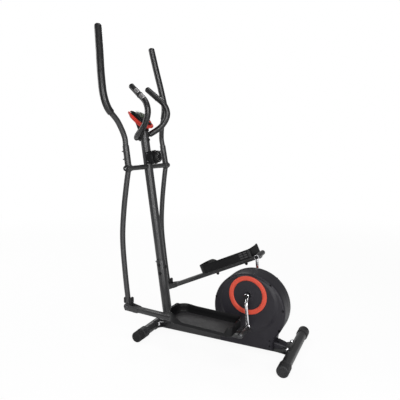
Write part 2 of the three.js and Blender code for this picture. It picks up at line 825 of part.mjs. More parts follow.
function drivePulley() {
  const hub = 22;
  const rim = drivePulleyRadius - 12;
  const half = drivePulleyWidth / 2;
  const web = 2.5;
  const body = turnedY([
    [0, -half], [hub, -half], [hub, -web], [rim, -web], [rim, -half], [drivePulleyRadius, -half],
    [drivePulleyRadius, half], [rim, half], [rim, web], [hub, web], [hub, half], [0, half],
  ], 24);
  return cut(body, rodY(2 * boreRadius(axleDiameter, seatGap), -drivePulleyWidth, drivePulleyWidth));
}

// The flywheel with its small pulley in the belt's plane.
function flywheel() {
  const half = flywheelWidth / 2;
  const hub = 24;
  const rim = flywheelRadius - 18;
  const pulleyOut = beltPlane - beltWidth / 2 - 1 - flywheelMiddle;
  const body = turnedY([
    [0, pulleyOut], [smallPulleyRadius, pulleyOut], [smallPulleyRadius, -half], [hub, -half], [hub, -half + 5],
    [rim, -half + 5], [rim, -half], [flywheelRadius, -half], [flywheelRadius, half], [rim, half],
    [rim, half - 5], [hub, half - 5], [hub, half], [0, half],
  ], 24);
  return cut(body, rodY(2 * boreRadius(flywheelAxleDiameter, runGap), -100, 100));
}

function flywheelAxle() {
  const left = leftBracket + bracketThickness / 2 + seatGap;
  const right = rightBracket - bracketThickness / 2 - seatGap;
  const shank = flywheelAxleDiameter / 2;
  const nut = 4;
  return turnedY([
    [0, right - nut], [shank + 4, right - nut], [shank + 4, right], [shank, right], [shank, left],
    [shank + 4, left], [shank + 4, left + nut], [0, left + nut],
  ], fewSides);
}

// An endless belt round both pulleys: two arcs and two straight runs.
function beltLoop(grow) {
  const big = drivePulleyRadius + grow;
  const small = smallPulleyRadius + grow;
  const along = Math.atan2(flywheelCentre.z - crankCentre.z, flywheelCentre.x - crankCentre.x);
  const distance = Math.hypot(flywheelCentre.z - crankCentre.z, flywheelCentre.x - crankCentre.x);
  const lean = Math.acos((big - small) / distance);
  return { big, small, along, lean };
}

function beltShape(grow, clockwise) {
  const { big, small, along, lean } = beltLoop(grow);
  const path = clockwise ? new THREE.Path() : new THREE.Shape();
  if (clockwise) {
    path.absarc(crankCentre.x, crankCentre.z, big, along - lean, along + lean, true);
    path.absarc(flywheelCentre.x, flywheelCentre.z, small, along + lean, along - lean, true);
  } else {
    path.absarc(crankCentre.x, crankCentre.z, big, along + lean, along - lean + 2 * Math.PI, false);
    path.absarc(flywheelCentre.x, flywheelCentre.z, small, along - lean, along + lean, false);
  }
  return path;
}

function belt() {
  const inner = seatGap + 0.6;
  const outer = beltShape(inner + beltThickness, false);
  outer.holes.push(beltShape(inner, true));
  return prismY(outer, beltPlane - beltWidth / 2, beltPlane + beltWidth / 2, 9);
}

function magnetBracket() {
  const inner = flywheelRadius + magnetGap;
  const outer = inner + magnetThickness;
  const from = rad(magnetArc.from);
  const to = rad(magnetArc.to);
  const arc = new THREE.Shape()
    .absarc(0, 0, outer, from, to, false)
    .absarc(0, 0, inner, to, from, true);
  const band = prismY(arc, -magnetWidth / 2, magnetWidth / 2, 8).translate(flywheelCentre.x, 0, flywheelCentre.z);
  const pivot = magnetPivot();
  const eye = rodY(16, -magnetWidth / 2, magnetWidth / 2, fewSides).translate(pivot.x, 0, pivot.z);
  const bore = rodY(2 * boreRadius(6, runGap, 8), -magnetWidth, magnetWidth, 8).translate(pivot.x, 0, pivot.z);
  return cut(join(band, eye), bore).translate(0, flywheelMiddle, 0);
}

// ---- shells -------------------------------------------------------------------------------

// Side view of the shells: a round rim that runs down into a skirt over the beam.
function shellOutline(inset) {
  const radius = shellRadius - inset;
  const corner = rad(skirtCorner);
  const bottom = skirtBottom + inset;
  const rear = skirtRear + inset;
  const beamTop = axisHeight + beamHeight / 2;
  return new THREE.Shape()
    .moveTo(skirtFront - inset, bottom)
    .lineTo(shellCentre.x + radius * Math.cos(corner), shellCentre.z - radius * Math.sin(corner))
    .absarc(shellCentre.x, shellCentre.z, radius, -corner, Math.PI + corner)
    .quadraticCurveTo(rear - 4, beamTop + 36, rear, beamTop)
    .lineTo(rear, bottom);
}

function shellSkin(inset, depth) {
  const steps = 9;
  const middle = prismY(shellOutline(inset), 0, depth - shellFillet, steps);
  const face = prismY(shellOutline(inset + shellFillet), 0, depth, steps);
  const round = prismY(shellOutline(inset + shellFillet * 0.3), 0, depth - shellFillet * 0.3, steps);
  const { x, z } = plateauCentre;
  const raised = turnedY([
    [0, depth - 4], [plateauRadius + plateauSlope, depth - 4], [plateauRadius + plateauSlope, depth],
    [plateauRadius, depth + plateauHeight], [0, depth + plateauHeight],
  ], 28).translate(x, 0, z);
  const limit = prismY(shellOutline(inset + shellFillet * 0.7), 0, depth + plateauHeight + 1, steps);
  return join(middle, round, face, common(raised, limit));
}

function shell(side) {
  const outside = shellSkin(0, shellHalfWidth);
  const inside = shellSkin(shellWall, shellHalfWidth - shellWall);
  const splitCut = block([-700, 0], [-200, shellSplit], [-50, 500]);
  const beamSlot = prismX(
    roundedBox(beamWidth + 2 * seatGap, beamHeight + 2 * seatGap, beamCorner), -700, 0, 2);
  const axleHole = rodY(axleHoleDiameter, -200, 200).translate(crankCentre.x, 0, crankCentre.z);
  return forSide(side, cut(outside, inside, splitCut, beamSlot.translate(0, 0, axisHeight), axleHole));
}

function ring(side) {
  const base = shellHalfWidth + plateauHeight + seatGap;
  const band = ringOuterRadius - ringInnerRadius;
  const body = turnedY([
    [ringInnerRadius, base], [ringOuterRadius, base], [ringOuterRadius, base + ringHeight * 0.6],
    [ringOuterRadius - band * 0.2, base + ringHeight], [ringInnerRadius + band * 0.2, base + ringHeight],
    [ringInnerRadius, base + ringHeight * 0.6], [ringInnerRadius, base],
  ], 28);
  return forSide(side, body);
}

// ---- handlebar -----------------------------------------------------------------------------

const barSteps = 24;

// From the right tip to the left tip.
function barPath() {
  const { x, z } = onPost(barAlong, barForward);
  const left = [
    ...barNeck.map(([forward, out, up]) => [x + forward, out, z + up]),
    ...barBends,
    [barTip.x, barTip.y, barTip.z],
  ];
  const right = left.map(([alongX, out, up]) => [alongX, -out, up]).reverse();
  return smoothPath([...right, [x, 0, z], ...left]);
}

function handlebar() {
  return bentTube(barPath(), barSteps, barDiameter, barWall);
}

function barGripShare(path) {
  return 0.5 + barGripStart / path.getLength();
}

function barGrip(side) {
  const path = barPath();
  return forSide(side, foamGrip(path, barSteps, barDiameter, barGripDiameter, barGripShare(path)));
}

// A thin curved plate half round the foam, on the outer, upper and rear side of the grip.
function sensorPlate(side, place) {
  const path = barPath();
  const outerPath = gripPath(path, barSteps, barGripShare(path));
  const inner = barGripDiameter / 2 + seatGap;
  const steps = outerPath.points.length;
  const ringAround = cut(
    sweep(circle(inner + sensorThickness), outerPath, steps, barSides),
    sweep(circle(inner), outerPath, steps, barSides));
  const tangent = path.getTangentAt((1 + place) / 2);
  const facing = new THREE.Vector3(-0.6, 0.6, 0.5);
  facing.addScaledVector(tangent, -facing.dot(tangent)).normalize();
  const across = new THREE.Vector3().crossVectors(tangent, facing);
  const region = block([2, 40], [-40, 40], [-sensorLength / 2, sensorLength / 2]);
  region.applyMatrix4(new THREE.Matrix4().makeBasis(facing, across, tangent));
  region.translate(...path.getPointAt((1 + place) / 2).toArray());
  return forSide(side, common(ringAround, region));
}

// The clamp round the bar in front of the post.
function handlebarClamp() {
  const front = barForward + barDiameter / 2 + clampWall;
  const body = prismZ(
    roundedBox(front - clampRear, clampWidth, 9), barAlong - clampBelow, barAlong + clampAbove, 2);
  const postSpace = prismZ(circle(boreRadius(postDiameter, seatGap)), 0, postTop + 100);
  const barSpace = sweep(circle(barDiameter / 2 + seatGap), barPath(), barSteps, barSides);
  return cut(tilted(body.translate((front + clampRear) / 2, 0, 0)), tilted(postSpace), barSpace);
}

// ---- console --------------------------------------------------------------------------------

// In the console's own group: x' runs up the slope, z' is normal to the face, and the face is z' = 0.
function consoleOutline(inset) {
  const length = consoleLength / 2 - inset;
  const width = consoleWidth / 2 - inset;
  const corner = 26;
  return new THREE.Shape()
    .moveTo(length - corner * 1.4, width * 0.72)
    .quadraticCurveTo(length, width * 0.66, length, 0)
    .quadraticCurveTo(length, -width * 0.66, length - corner * 1.4, -width * 0.72)
    .quadraticCurveTo(0, -width * 1.18, -length + corner, -width * 0.94)
    .quadraticCurveTo(-length, -width * 0.9, -length, -width * 0.5)
    .lineTo(-length, width * 0.5)
    .quadraticCurveTo(-length, width * 0.9, -length + corner, width * 0.94)
    .quadraticCurveTo(0, width * 1.18, length - corner * 1.4, width * 0.72);
}

function consoleCase() {
  const upper = prismZ(consoleOutline(0), -consoleDepth * 0.55, 0, 5);
  const lower = prismZ(consoleOutline(consoleRimWidth), -consoleDepth, -consoleDepth * 0.5, 5);
  const recess = prismZ(consoleOutline(consoleRimWidth * 0.6), -3, 1, 5);
  return cut(join(upper, lower), recess);
}

function consoleCover() {
  const inset = consoleRimWidth * 0.6 + seatGap;
  const base = prismZ(consoleOutline(inset), -3 + seatGap, coverHeight * 0.5, 5);
  const crown = prismZ(consoleOutline(inset + 8), coverHeight * 0.4, coverHeight, 5);
  const window = block(
    [screenPlace - screenLength / 2 - seatGap, screenPlace + screenLength / 2 + seatGap],
    [-screenWidth / 2 - seatGap, screenWidth / 2 + seatGap],
    [coverHeight - screenThickness - seatGap, coverHeight + 1]);
  const wells = [-1, 0, 1].map((slot) => turnedZ([
    [0, coverHeight - buttonHeight], [buttonDiameter / 2 + seatGap, coverHeight - buttonHeight],
    [buttonDiameter / 2 + seatGap, coverHeight + 1], [0, coverHeight + 1],
  ], fewSides).translate(buttonPlace, slot * buttonSpacing, 0));
  return cut(join(base, crown), window, ...wells);
}

const screenPlace = 18;
const buttonPlace = -38;

function consoleScreen() {
  const top = coverHeight - 0.2;
  const glass = prismZ(roundedBox(screenLength, screenWidth, 3), top - screenThickness + 0.4, top, 2);
  return glass.translate(screenPlace, 0, 0);
}

function consoleButton(slot) {
  const radius = buttonDiameter / 2;
  const bottom = coverHeight - buttonHeight + buttonTravel + seatGap;
  const top = coverHeight + buttonTravel + 1;
  const button = turnedZ([
    [0, bottom], [radius, bottom], [radius, top - 1], [radius - 1.5, top], [0, top],
  ], fewSides);
  return button.translate(buttonPlace, slot * buttonSpacing, 0);
}

// A bracket between the post's top and the case, in world axes.
function consoleBracket() {
  const top = onPost(postTop);
  const plug = prismZ(circle(postDiameter / 2 - postWall - 1), postTop - 30, postTop + 1, fewSides / 2);
  const slope = rad(consoleSlope);
  const under = consoleDepth + seatGap;
  const under0 = {
    x: consoleCentre.x + under * Math.sin(slope),
    z: consoleCentre.z - under * Math.cos(slope),
  };
  const at = (along) => [under0.x + along * Math.cos(slope), under0.z + along * Math.sin(slope)];
  const above = (forward) => [top.x + forward, top.z - forward * Math.tan(rad(postLean)) + 2 * seatGap];
  const neck = new THREE.Shape()
    .moveTo(...above(-18))
    .lineTo(...above(20))
    .lineTo(...at(34))
    .lineTo(...at(-34));
  return join(tilted(plug), prismY(neck, -24, 24));
}

// ---- tension control ---------------------------------------------------------------------------

// In the post's tilted group: a half collar on the rear of the post that carries the dial.
function tensionHousing() {
  const outer = postDiameter / 2 + collarWall;
  const shape = new THREE.Shape()
    .moveTo(collarFront, -outer)
    .lineTo(collarFront, outer)
    .lineTo(-collarReach + 6, outer)
    .lineTo(-collarReach, outer - 6)
    .lineTo(-collarReach, -outer + 6)
    .lineTo(-collarReach + 6, -outer);
  const body = prismZ(shape, collarAlong - collarHeight / 2, collarAlong + collarHeight / 2, 5);
  const post = prismZ(circle(boreRadius(postDiameter, seatGap)), 0, 2000);
  const spindle = dialSpindleDiameter / 2 + runGap;
  const hole = turnedX([
    [0, -collarReach - 1], [spindle, -collarReach - 1], [spindle, -collarReach + 12], [0, -collarReach + 12],
  ], fewSides);
  return cut(body, post, hole.translate(0, 0, collarAlong));
}

function tensionDial() {
  const face = -collarReach - dialTravelGap;
  const radius = dialDiameter / 2;
  const spindle = dialSpindleDiameter / 2;
  const body = turnedX([
    [0, face - dialLength + 4], [radius * 0.55, face - dialLength + 4], [radius * 0.62, face - dialLength],
    [radius * 0.8, face - dialLength], [radius - 1, face - dialLength + 5], [radius, face - 3], [radius - 3, face],
    [spindle, face], [spindle, face + 11], [0, face + 11],
  ], sides);
  return body.translate(0, 0, collarAlong);
}

// ---- assembly -------------------------------------------------------------------------------------

const hands = { left: 1, right: -1 };

function addFloorFrame(machine) {
  const cap = overallCapWidth - 2 * capEndWall - 2 * seatGap;
  machine.add(piece('main_frame', mainFrame(), 'paint'));
  const front = groupAt(frontStabilizerX, 0, axisHeight);
  const rear = groupAt(rearStabilizerX, 0, axisHeight);
  front.add(piece('front_stabilizer', stabilizer(cap - 2 * rollerLength - 2 * runGap), 'paint'));
  rear.add(piece('rear_stabilizer', stabilizer(cap), 'paint'));
  for (const [hand, side] of Object.entries(hands)) {
    front.add(piece(`front_cap_${hand}`, frontCap(side), 'plastic'));
    front.add(piece(`transport_roller_${hand}`, roller(side), 'rubber'));
    rear.add(piece(`rear_cap_${hand}`, rearCap(side), 'plastic'));
  }
  machine.add(front, rear);
}

function addPost(machine) {
  const post = groupAt(postFootX, 0, axisHeight, rad(postLean));
  post.add(piece('upright_post', uprightPost(), 'paint'));
  post.add(piece('tension_housing', tensionHousing(), 'plastic'));
  post.add(piece('tension_dial', tensionDial(), 'plastic'));
  for (const [hand, side] of Object.entries(hands)) {
    const cap = piece(`crossbar_cap_${hand}`, crossbarCap(side), 'plastic');
    cap.position.z = crossbarAlong;
    post.add(cap);
  }
  machine.add(post);
}

function addHandlebar(machine) {
  machine.add(piece('handlebar', handlebar(), 'paint'));
  machine.add(piece('handlebar_clamp', handlebarClamp(), 'plastic'));
  for (const [hand, side] of Object.entries(hands)) {
    machine.add(piece(`handlebar_grip_${hand}`, barGrip(side), 'foam'));
    machine.add(piece(`pulse_sensor_lower_${hand}`, sensorPlate(side, sensorFirst), 'steel'));
    machine.add(piece(`pulse_sensor_upper_${hand}`, sensorPlate(side, sensorFirst + 0.11), 'steel'));
  }
}

function addConsole(machine) {
  machine.add(piece('console_bracket', consoleBracket(), 'plastic'));
  const console = groupAt(consoleCentre.x, 0, consoleCentre.z, -rad(consoleSlope));
  console.add(piece('console_case', consoleCase(), 'red'));
  console.add(piece('console_cover', consoleCover(), 'plastic'));
  console.add(piece('console_screen', consoleScreen(), 'glass'));
  ['right', 'middle', 'left'].forEach((place, slot) => {
    console.add(piece(`console_button_${place}`, consoleButton(slot - 1), 'red'));
  });
  machine.add(console);
}

function addLevers(machine) {
  for (const [hand, side] of Object.entries(hands)) {
    const { leverTurn, armTurn, foot } = linkages[hand];
    const plane = (side * leverSpacing) / 2;
    const swing = groupAt(leverPivot.x, plane, leverPivot.z, leverTurn);
    swing.add(piece(`lever_${hand}`, lever(side), 'paint'));
    swing.add(piece(`handle_${hand}`, handle(side), 'paint'));
    swing.add(piece(`handle_grip_${hand}`, handleGrip(side), 'foam'));
    const arm = groupAt(foot.x, plane, foot.z, armTurn);
    arm.add(piece(`pedal_arm_${hand}`, pedalArm(side), 'paint'));
    arm.add(piece(`pedal_${hand}`, pedal(side), 'plastic'));
    arm.add(piece(`lever_pin_${hand}`, leverPin(side), 'steel'));
    arm.add(piece(`crank_pin_${hand}`, crankPin(side), 'steel'));
    machine.add(swing, arm);
  }
}

function addDrive(machine) {
  const centre = groupAt(crankCentre.x, 0, crankCentre.z);
  centre.add(piece('crank_bearing', crankBearing(), 'steel'));
  centre.add(piece('crank_axle', crankAxle(), 'steel'));
  const pulley = piece('drive_pulley', drivePulley(), 'plastic');
  pulley.position.y = beltPlane;
  centre.add(pulley);
  for (const [hand, side] of Object.entries(hands)) {
    const arm = piece(`crank_${hand}`, crank(side), 'chrome');
    arm.rotation.y = linkages[hand].crankTurn;
    centre.add(arm);
    centre.add(piece(`ring_${hand}`, ring(side), 'red'));
  }
  const wheel = groupAt(flywheelCentre.x, 0, flywheelCentre.z);
  const rotor = piece('flywheel', flywheel(), 'iron');
  rotor.position.y = flywheelMiddle;
  wheel.add(rotor, piece('flywheel_axle', flywheelAxle(), 'steel'));
  machine.add(centre, wheel, piece('belt', belt(), 'rubber'), piece('magnet_bracket', magnetBracket(), 'iron'));
  machine.add(piece('shell_left', shell(1), 'shell'), piece('shell_right', shell(-1), 'shell'));
}

const machine = new THREE.Group();
addFloorFrame(machine);
addPost(machine);
addHandlebar(machine);
addConsole(machine);
addLevers(machine);
addDrive(machine);

// The origin is on the floor under the middle of the machine's box.
const box = new THREE.Box3().setFromObject(machine);
machine.position.set(-(box.min.x + box.max.x) / 2, -(box.min.y + box.max.y) / 2, 0);

const trainer = new THREE.Group();
trainer.add(machine);

export default trainer;
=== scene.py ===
import json
import math
import random
from bisect import bisect_left

import bmesh
import bpy
from mathutils import Matrix, Vector, noise


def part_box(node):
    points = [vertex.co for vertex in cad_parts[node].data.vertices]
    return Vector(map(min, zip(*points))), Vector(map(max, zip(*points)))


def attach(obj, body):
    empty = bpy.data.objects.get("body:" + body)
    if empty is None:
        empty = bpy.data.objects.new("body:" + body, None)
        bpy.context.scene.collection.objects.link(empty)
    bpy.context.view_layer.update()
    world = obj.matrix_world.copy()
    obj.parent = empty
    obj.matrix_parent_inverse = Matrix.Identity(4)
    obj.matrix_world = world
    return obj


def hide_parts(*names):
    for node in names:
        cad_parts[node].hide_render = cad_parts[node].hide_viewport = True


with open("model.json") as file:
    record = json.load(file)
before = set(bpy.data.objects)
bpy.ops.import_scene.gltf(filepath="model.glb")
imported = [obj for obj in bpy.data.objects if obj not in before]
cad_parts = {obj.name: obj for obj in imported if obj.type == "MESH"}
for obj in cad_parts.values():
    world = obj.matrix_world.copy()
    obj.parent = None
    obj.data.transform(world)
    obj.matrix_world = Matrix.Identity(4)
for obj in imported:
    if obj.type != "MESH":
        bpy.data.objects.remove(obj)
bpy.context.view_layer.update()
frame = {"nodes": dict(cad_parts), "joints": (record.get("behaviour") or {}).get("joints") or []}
joints = {joint["name"]: joint for joint in frame["joints"]}
hands = {"left": 1, "right": -1}
leftward = Vector((0, 1, 0))
upward = Vector((0, 0, 1))
random.seed(7)

# Places that the pieces share, in metres: +X forward, +Y left, +Z up


def jointAt(name):
    return Vector(joints[name]["pos_m"])


def middleOf(node):
    low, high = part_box(node)
    return (low + high) / 2


def radiusOf(node):  # of a round node that lies along Y
    low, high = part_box(node)
    return (high.x - low.x) / 2


def reachOf(node):  # its nearest and furthest distance from the middle plane
    low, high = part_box(node)
    return sorted((abs(low.y), abs(high.y)))


def inMiddlePlane(point):
    return Vector((point.x, 0, point.z))


rearward = Vector(joints["tension_dial_turn"]["axis"])
postForward = -rearward
postUp = Vector((rearward.z, 0, -rearward.x))
crossbarMiddle = inMiddlePlane(jointAt("left_lever_swing"))
axisHeight = jointAt("left_roller_spin").z
frontX = jointAt("left_roller_spin").x
rearX = middleOf("rear_stabilizer").x
crankAxis = jointAt("crank_turn")


def onPost(up, forward=0, out=0):  # up is counted from the crossbar
    return crossbarMiddle + postUp * up + postForward * forward + leftward * out


def turned(origin, goal, local):  # the frame at origin whose local point lands on goal, turned about Y
    reach = goal - origin
    angle = math.atan2(reach.x, reach.z) - math.atan2(local[0], local[2])
    return Matrix.Translation(origin) @ Matrix.Rotation(angle, 4, "Y")


def leverFrame(hand):
    return turned(jointAt(hand + "_lever_swing"), jointAt(hand + "_pedal_pivot"), leverShape["foot"])


def armFrame(hand):
    return turned(jointAt(hand + "_pedal_pivot"), middleOf("crank_pin_" + hand), (-1, 0, 0))


def crankFrame(hand):
    return turned(crankAxis, middleOf("crank_pin_" + hand), (0, 0, -1))


# Shapes are (points, faces) pairs

def mirrored(shape, side):  # side 1 is the left, as modelled, and -1 the right
    points, faces = shape
    if side > 0:
        return shape
    return [Vector((p.x, -p.y, p.z)) for p in points], [tuple(reversed(f)) for f in faces]


def placed(shape, matrix):
    return [matrix @ Vector(p) for p in shape[0]], shape[1]


def onPostShape(shape):  # x becomes forward of the post's axis, z up along it
    return [onPost(p.z, p.x, p.y) for p in shape[0]], shape[1]


def aimed(shape, origin, across, up, ahead):  # x, y and z become the three directions
    return [origin + across * p.x + up * p.y + ahead * p.z for p in shape[0]], shape[1]


def joined(shapes):
    points, faces = [], []
    for shapePoints, shapeFaces in shapes:
        first = len(points)
        points += [Vector(p) for p in shapePoints]
        faces += [tuple(first + i for i in face) for face in shapeFaces]
    return points, faces


def eased(value, low, high):
    t = min(1, max(0, (value - low) / (high - low)))
    return t * t * (3 - 2 * t)


def signedPower(value, power):  # a power under 1 makes a circle squarer
    return math.copysign(abs(value) ** power, value)


def measured(path):  # the distance along the path at each of its points
    lengths = [0]
    for a, b in zip(path, path[1:]):
        lengths.append(lengths[-1] + (b - a).length)
    return lengths


def pointAt(path, lengths, distance):  # beyond its end the path goes straight on
    k = min(max(bisect_left(lengths, distance) - 1, 0), len(path) - 2)
    share = (distance - lengths[k]) / max(1e-9, lengths[k + 1] - lengths[k])
    return path[k].lerp(path[k + 1], share)


def smoothPath(points, steps):  # even steps along a curve through the points
    points = [Vector(p) for p in points]
    ends = [points[0] * 2 - points[1]] + points + [points[-1] * 2 - points[-2]]
    fine, fineSteps = [], 40
    for i in range(len(points) - 1):
        p0, p1, p2, p3 = ends[i:i + 4]
        g0, g1, g2 = (max(1e-6, (b - a).length ** 0.5) for a, b in ((p0, p1), (p1, p2), (p2, p3)))
        t1 = ((p1 - p0) / g0 - (p2 - p0) / (g0 + g1) + (p2 - p1) / g1) * g1
        t2 = ((p2 - p1) / g1 - (p3 - p1) / (g1 + g2) + (p3 - p2) / g2) * g1
        for k in range(fineSteps):
            t = k / fineSteps
            fine.append((2 * t ** 3 - 3 * t ** 2 + 1) * p1 + (t ** 3 - 2 * t ** 2 + t) * t1
                        + (-2 * t ** 3 + 3 * t ** 2) * p2 + (t ** 3 - t ** 2) * t2)
    fine.append(points[-1])
    lengths = measured(fine)
    return [pointAt(fine, lengths, lengths[-1] * step / steps) for step in range(steps + 1)]


def curveTo(a, control, b, steps):  # a bend from a towards b, without b itself
    shares = [i / steps for i in range(steps)]
    return [tuple((1 - t) ** 2 * a[k] + 2 * t * (1 - t) * control[k] + t * t * b[k] for k in (0, 1))
            for t in shares]


def circle(radius, count=32):
    angles = [2 * math.pi * i / count for i in range(count)]
    return [(radius * math.cos(angle), radius * math.sin(angle)) for angle in angles]


def arc(centre, radius, start, turn, steps):  # start and turn in degrees, both ends included
    angles = [math.radians(start + turn * i / steps) for i in range(steps + 1)]
    return [(centre[0] + radius * math.cos(angle), centre[1] + radius * math.sin(angle)) for angle in angles]


def roundedRect(width, height, corner, steps=6):
    x, y = width / 2 - corner, height / 2 - corner
    corners = ((x, y), (-x, y), (-x, -y), (x, -y))
    return [p for k, centre in enumerate(corners) for p in arc(centre, corner, 90 * k, 90, steps)]


def moved(outline, x, y):
    return [(x + a, y + b) for a, b in outline]


def bandFaces(rows, count, closed=False):  # quads between rings of count points
    faces = []
    for i in range(rows if closed else rows - 1):
        low, high = i * count, (i + 1) % rows * count
        for k in range(count):
            after = (k + 1) % count
            faces.append((low + k, low + after, high + after, high + k))
    return faces


def skinOver(rows):  # joins equal rings of points and closes both ends
    points, count = [p for row in rows for p in row], len(rows[0])
    ends = [tuple(reversed(range(count))), tuple(range(len(points) - count, len(points)))]
    return points, bandFaces(len(rows), count) + ends


def loft(rows):  # rows are (outline, height) pairs, with the outlines in the XY plane
    return skinOver([[Vector((a, b, height)) for a, b in outline] for outline, height in rows])


def slab(outline, low, high):  # from low to high along Z
    return loft([(outline, low), (outline, high)])


def prism(outline, low, high):  # the outline lies in the XZ plane, and low and high are along Y
    return skinOver([[Vector((a, depth, b)) for a, b in outline] for depth in (low, high)])


def sweep(path, section, size=None):  # size scales the section at each point of the path
    rows = []
    normal = leftward
    for i, centre in enumerate(path):
        ahead = path[min(i + 1, len(path) - 1)]
        behind = path[max(i - 1, 0)]
        tangent = (ahead - behind).normalized()
        normal = (normal - tangent * normal.dot(tangent)).normalized()
        across = tangent.cross(normal)
        scale = size[i] if size else 1
        rows.append([centre + (normal * a + across * b) * scale for a, b in section])
    return skinOver(rows)


def lathe(profile, origin, axis=leftward, count=48):  # (radius, along) pairs, some with (lobes, depth)
    axis = Vector(axis).normalized()
    first = axis.orthogonal().normalized()
    second = axis.cross(first)
    points, faces, rows = [], [], []
    for radius, along, *lobed in profile:
        centre = Vector(origin) + axis * along
        if radius < 1e-7:
            rows.append([len(points)])
            points.append(centre)
            continue
        rows.append(list(range(len(points), len(points) + count)))
        lobes, depth = lobed[0] if lobed else (0, 0)
        for k in range(count):
            angle = 2 * math.pi * k / count
            reach = radius - depth * (0.5 + 0.5 * math.cos(lobes * angle))
            points.append(centre + (first * math.cos(angle) + second * math.sin(angle)) * reach)
    for low, high in zip(rows, rows[1:]):
        for k in range(count):
            after = (k + 1) % count
            if len(low) == 1 and len(high) > 1:
                faces.append((low[0], high[after], high[k]))
            elif len(high) == 1 and len(low) > 1:
                faces.append((low[k], low[after], high[0]))
            elif len(low) > 1:
                faces.append((low[k], low[after], high[after], high[k]))
    return points, faces


def turnedRing(bore, radius, start, end, rim, endRim=None):  # a profile with chamfered rims
    endRim = rim if endRim is None else endRim
    return [(bore, start), (radius - rim, start), (radius, start + rim), (radius, end - endRim),
            (radius - endRim, end), (bore, end), (bore, start)]


def openTube(shape, rim, rise=None):  # a tube's profile, with a chamfered mouth and closed below it
    radius, bore, tall = shape["radius"], shape["bore"], shape["top"] - shape["bottom"]
    floor = tall - shape["open"]
    return [(0, 0), (radius, 0), (radius, tall - (rise or rim)), (radius - rim, tall), (bore, tall),
            (bore, floor), (0, floor)]


def hexHead(origin, axis, width=0.012, height=0.0058):
    corner, washer = width * 0.577, 0.0014
    return joined([
        lathe([(0, 0), (width * 0.78, 0), (width * 0.82, 0.0006), (width * 0.78, washer), (0, washer)],
              origin, axis, 32),
        lathe([(0, washer), (corner, washer), (corner, height - 0.0008), (width * 0.5, height), (0, height)],
              origin, axis, 6)])


def domeHead(origin, axis, radius, height):
    dome = [(a, height * 0.25 + b * height * 0.75 / radius) for a, b in arc((0, 0), radius, 0, 90, 8)[:-1]]
    flange = [(0, 0), (radius * 1.12, 0), (radius * 1.12, height * 0.14), (radius, height * 0.2)]
    return lathe(flange + dome + [(0, height)], origin, axis, 32)


def screwHead(origin, axis, radius, thick, dish):  # dish lists the radii of the rounded edge and the recess
    edge, recess, floor = dish
    rise = thick + radius - edge
    return lathe([(0, 0), (radius, 0), (radius, thick), (edge, rise), (recess, rise + 0.0001),
                  (floor, thick - 0.0004), (0, thick - 0.0004)], origin, axis, 24)


def weldRing(path, radius):  # a bead with ripples, on a closed path
    points, count = [], 8
    for i, centre in enumerate(path):
        tangent = (path[(i + 1) % len(path)] - path[i - 1]).normalized()
        normal = tangent.orthogonal().normalized()
        across = tangent.cross(normal)
        swell = radius * (1 + 0.14 * math.sin(i * 1.9) + random.uniform(-0.06, 0.06))
        points += [centre + (normal * a + across * b) * swell for a, b in circle(1, count)]
    return points, bandFaces(len(path), count, closed=True)


def ringPath(origin, axis, radius, count=72, stretch=1.0):  # stretch lengthens it along X
    axis = Vector(axis).normalized()
    first = (Vector((1, 0, 0)) - axis * axis.x).normalized()
    second = axis.cross(first)
    return [Vector(origin) + first * a * stretch + second * b for a, b in circle(radius, count)]


edgeAngles = {"bevel": 32, "sharp": 38}  # degrees from which an edge is bevelled, and is shaded sharp


def addPiece(name, shapes, material, body, slotName, replaces=(), bevel=0, segments=3):
    points, faces = joined(shapes if isinstance(shapes, list) else [shapes])
    mesh = bpy.data.meshes.new(name)
    mesh.from_pydata(points, [], faces)
    shaped = bmesh.new()
    shaped.from_mesh(mesh)
    bmesh.ops.remove_doubles(shaped, verts=shaped.verts, dist=1e-6)
    bmesh.ops.recalc_face_normals(shaped, faces=shaped.faces)
    shaped.to_mesh(mesh)
    shaped.free()
    piece = bpy.data.objects.new(name, mesh)
    bpy.context.scene.collection.objects.link(piece)
    if bevel:
        rounding = piece.modifiers.new("edges", "BEVEL")
        rounding.width = bevel
        rounding.segments = segments
        rounding.limit_method = "ANGLE"
        rounding.angle_limit = math.radians(edgeAngles["bevel"])
        rounding.harden_normals = False
        evaluated = piece.evaluated_get(bpy.context.evaluated_depsgraph_get())
        piece.data = bpy.data.meshes.new_from_object(evaluated)
        piece.modifiers.clear()
    piece.data.shade_smooth()
    piece.data.set_sharp_from_angle(angle=math.radians(edgeAngles["sharp"]))
    piece.data.materials.clear()
    piece.data.materials.append(material)
    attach(piece, body)
    if replaces:
        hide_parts(*replaces)
    return piece


def bothHands(name, shapes, material, body, slotName, nodes, place, **rest):  # * stands for left and right
    made = []
    for hand, side in hands.items():
        shape = placed(mirrored(joined(shapes), side), place(hand))
        made.append(addPiece(f"{name}_{hand}", shape, material, body.replace("*", hand), slotName,
                             [node.replace("*", hand) for node in nodes], **rest))
    return made


# Shader maths: a wire is one socket, and expressions on wires add the nodes

class Wire:
    def __init__(self, finish, socket):
        self.finish, self.socket = finish, socket

    def maths(self, operation, a, b):
        kind = "ShaderNodeVectorMath" if self.socket.type == "VECTOR" else "ShaderNodeMath"
        return self.finish.make(kind, {"operation": operation}, {0: a, 1: b})

    def __add__(self, other):
        return self.maths("ADD", self, other)

    def __radd__(self, other):
        return self.maths("ADD", other, self)

    def __sub__(self, other):
        return self.maths("SUBTRACT", self, other)

    def __rsub__(self, other):
        return self.maths("SUBTRACT", other, self)

    def __mul__(self, other):
        return self.maths("MULTIPLY", self, other)

    def __rmul__(self, other):
        return self.maths("MULTIPLY", other, self)


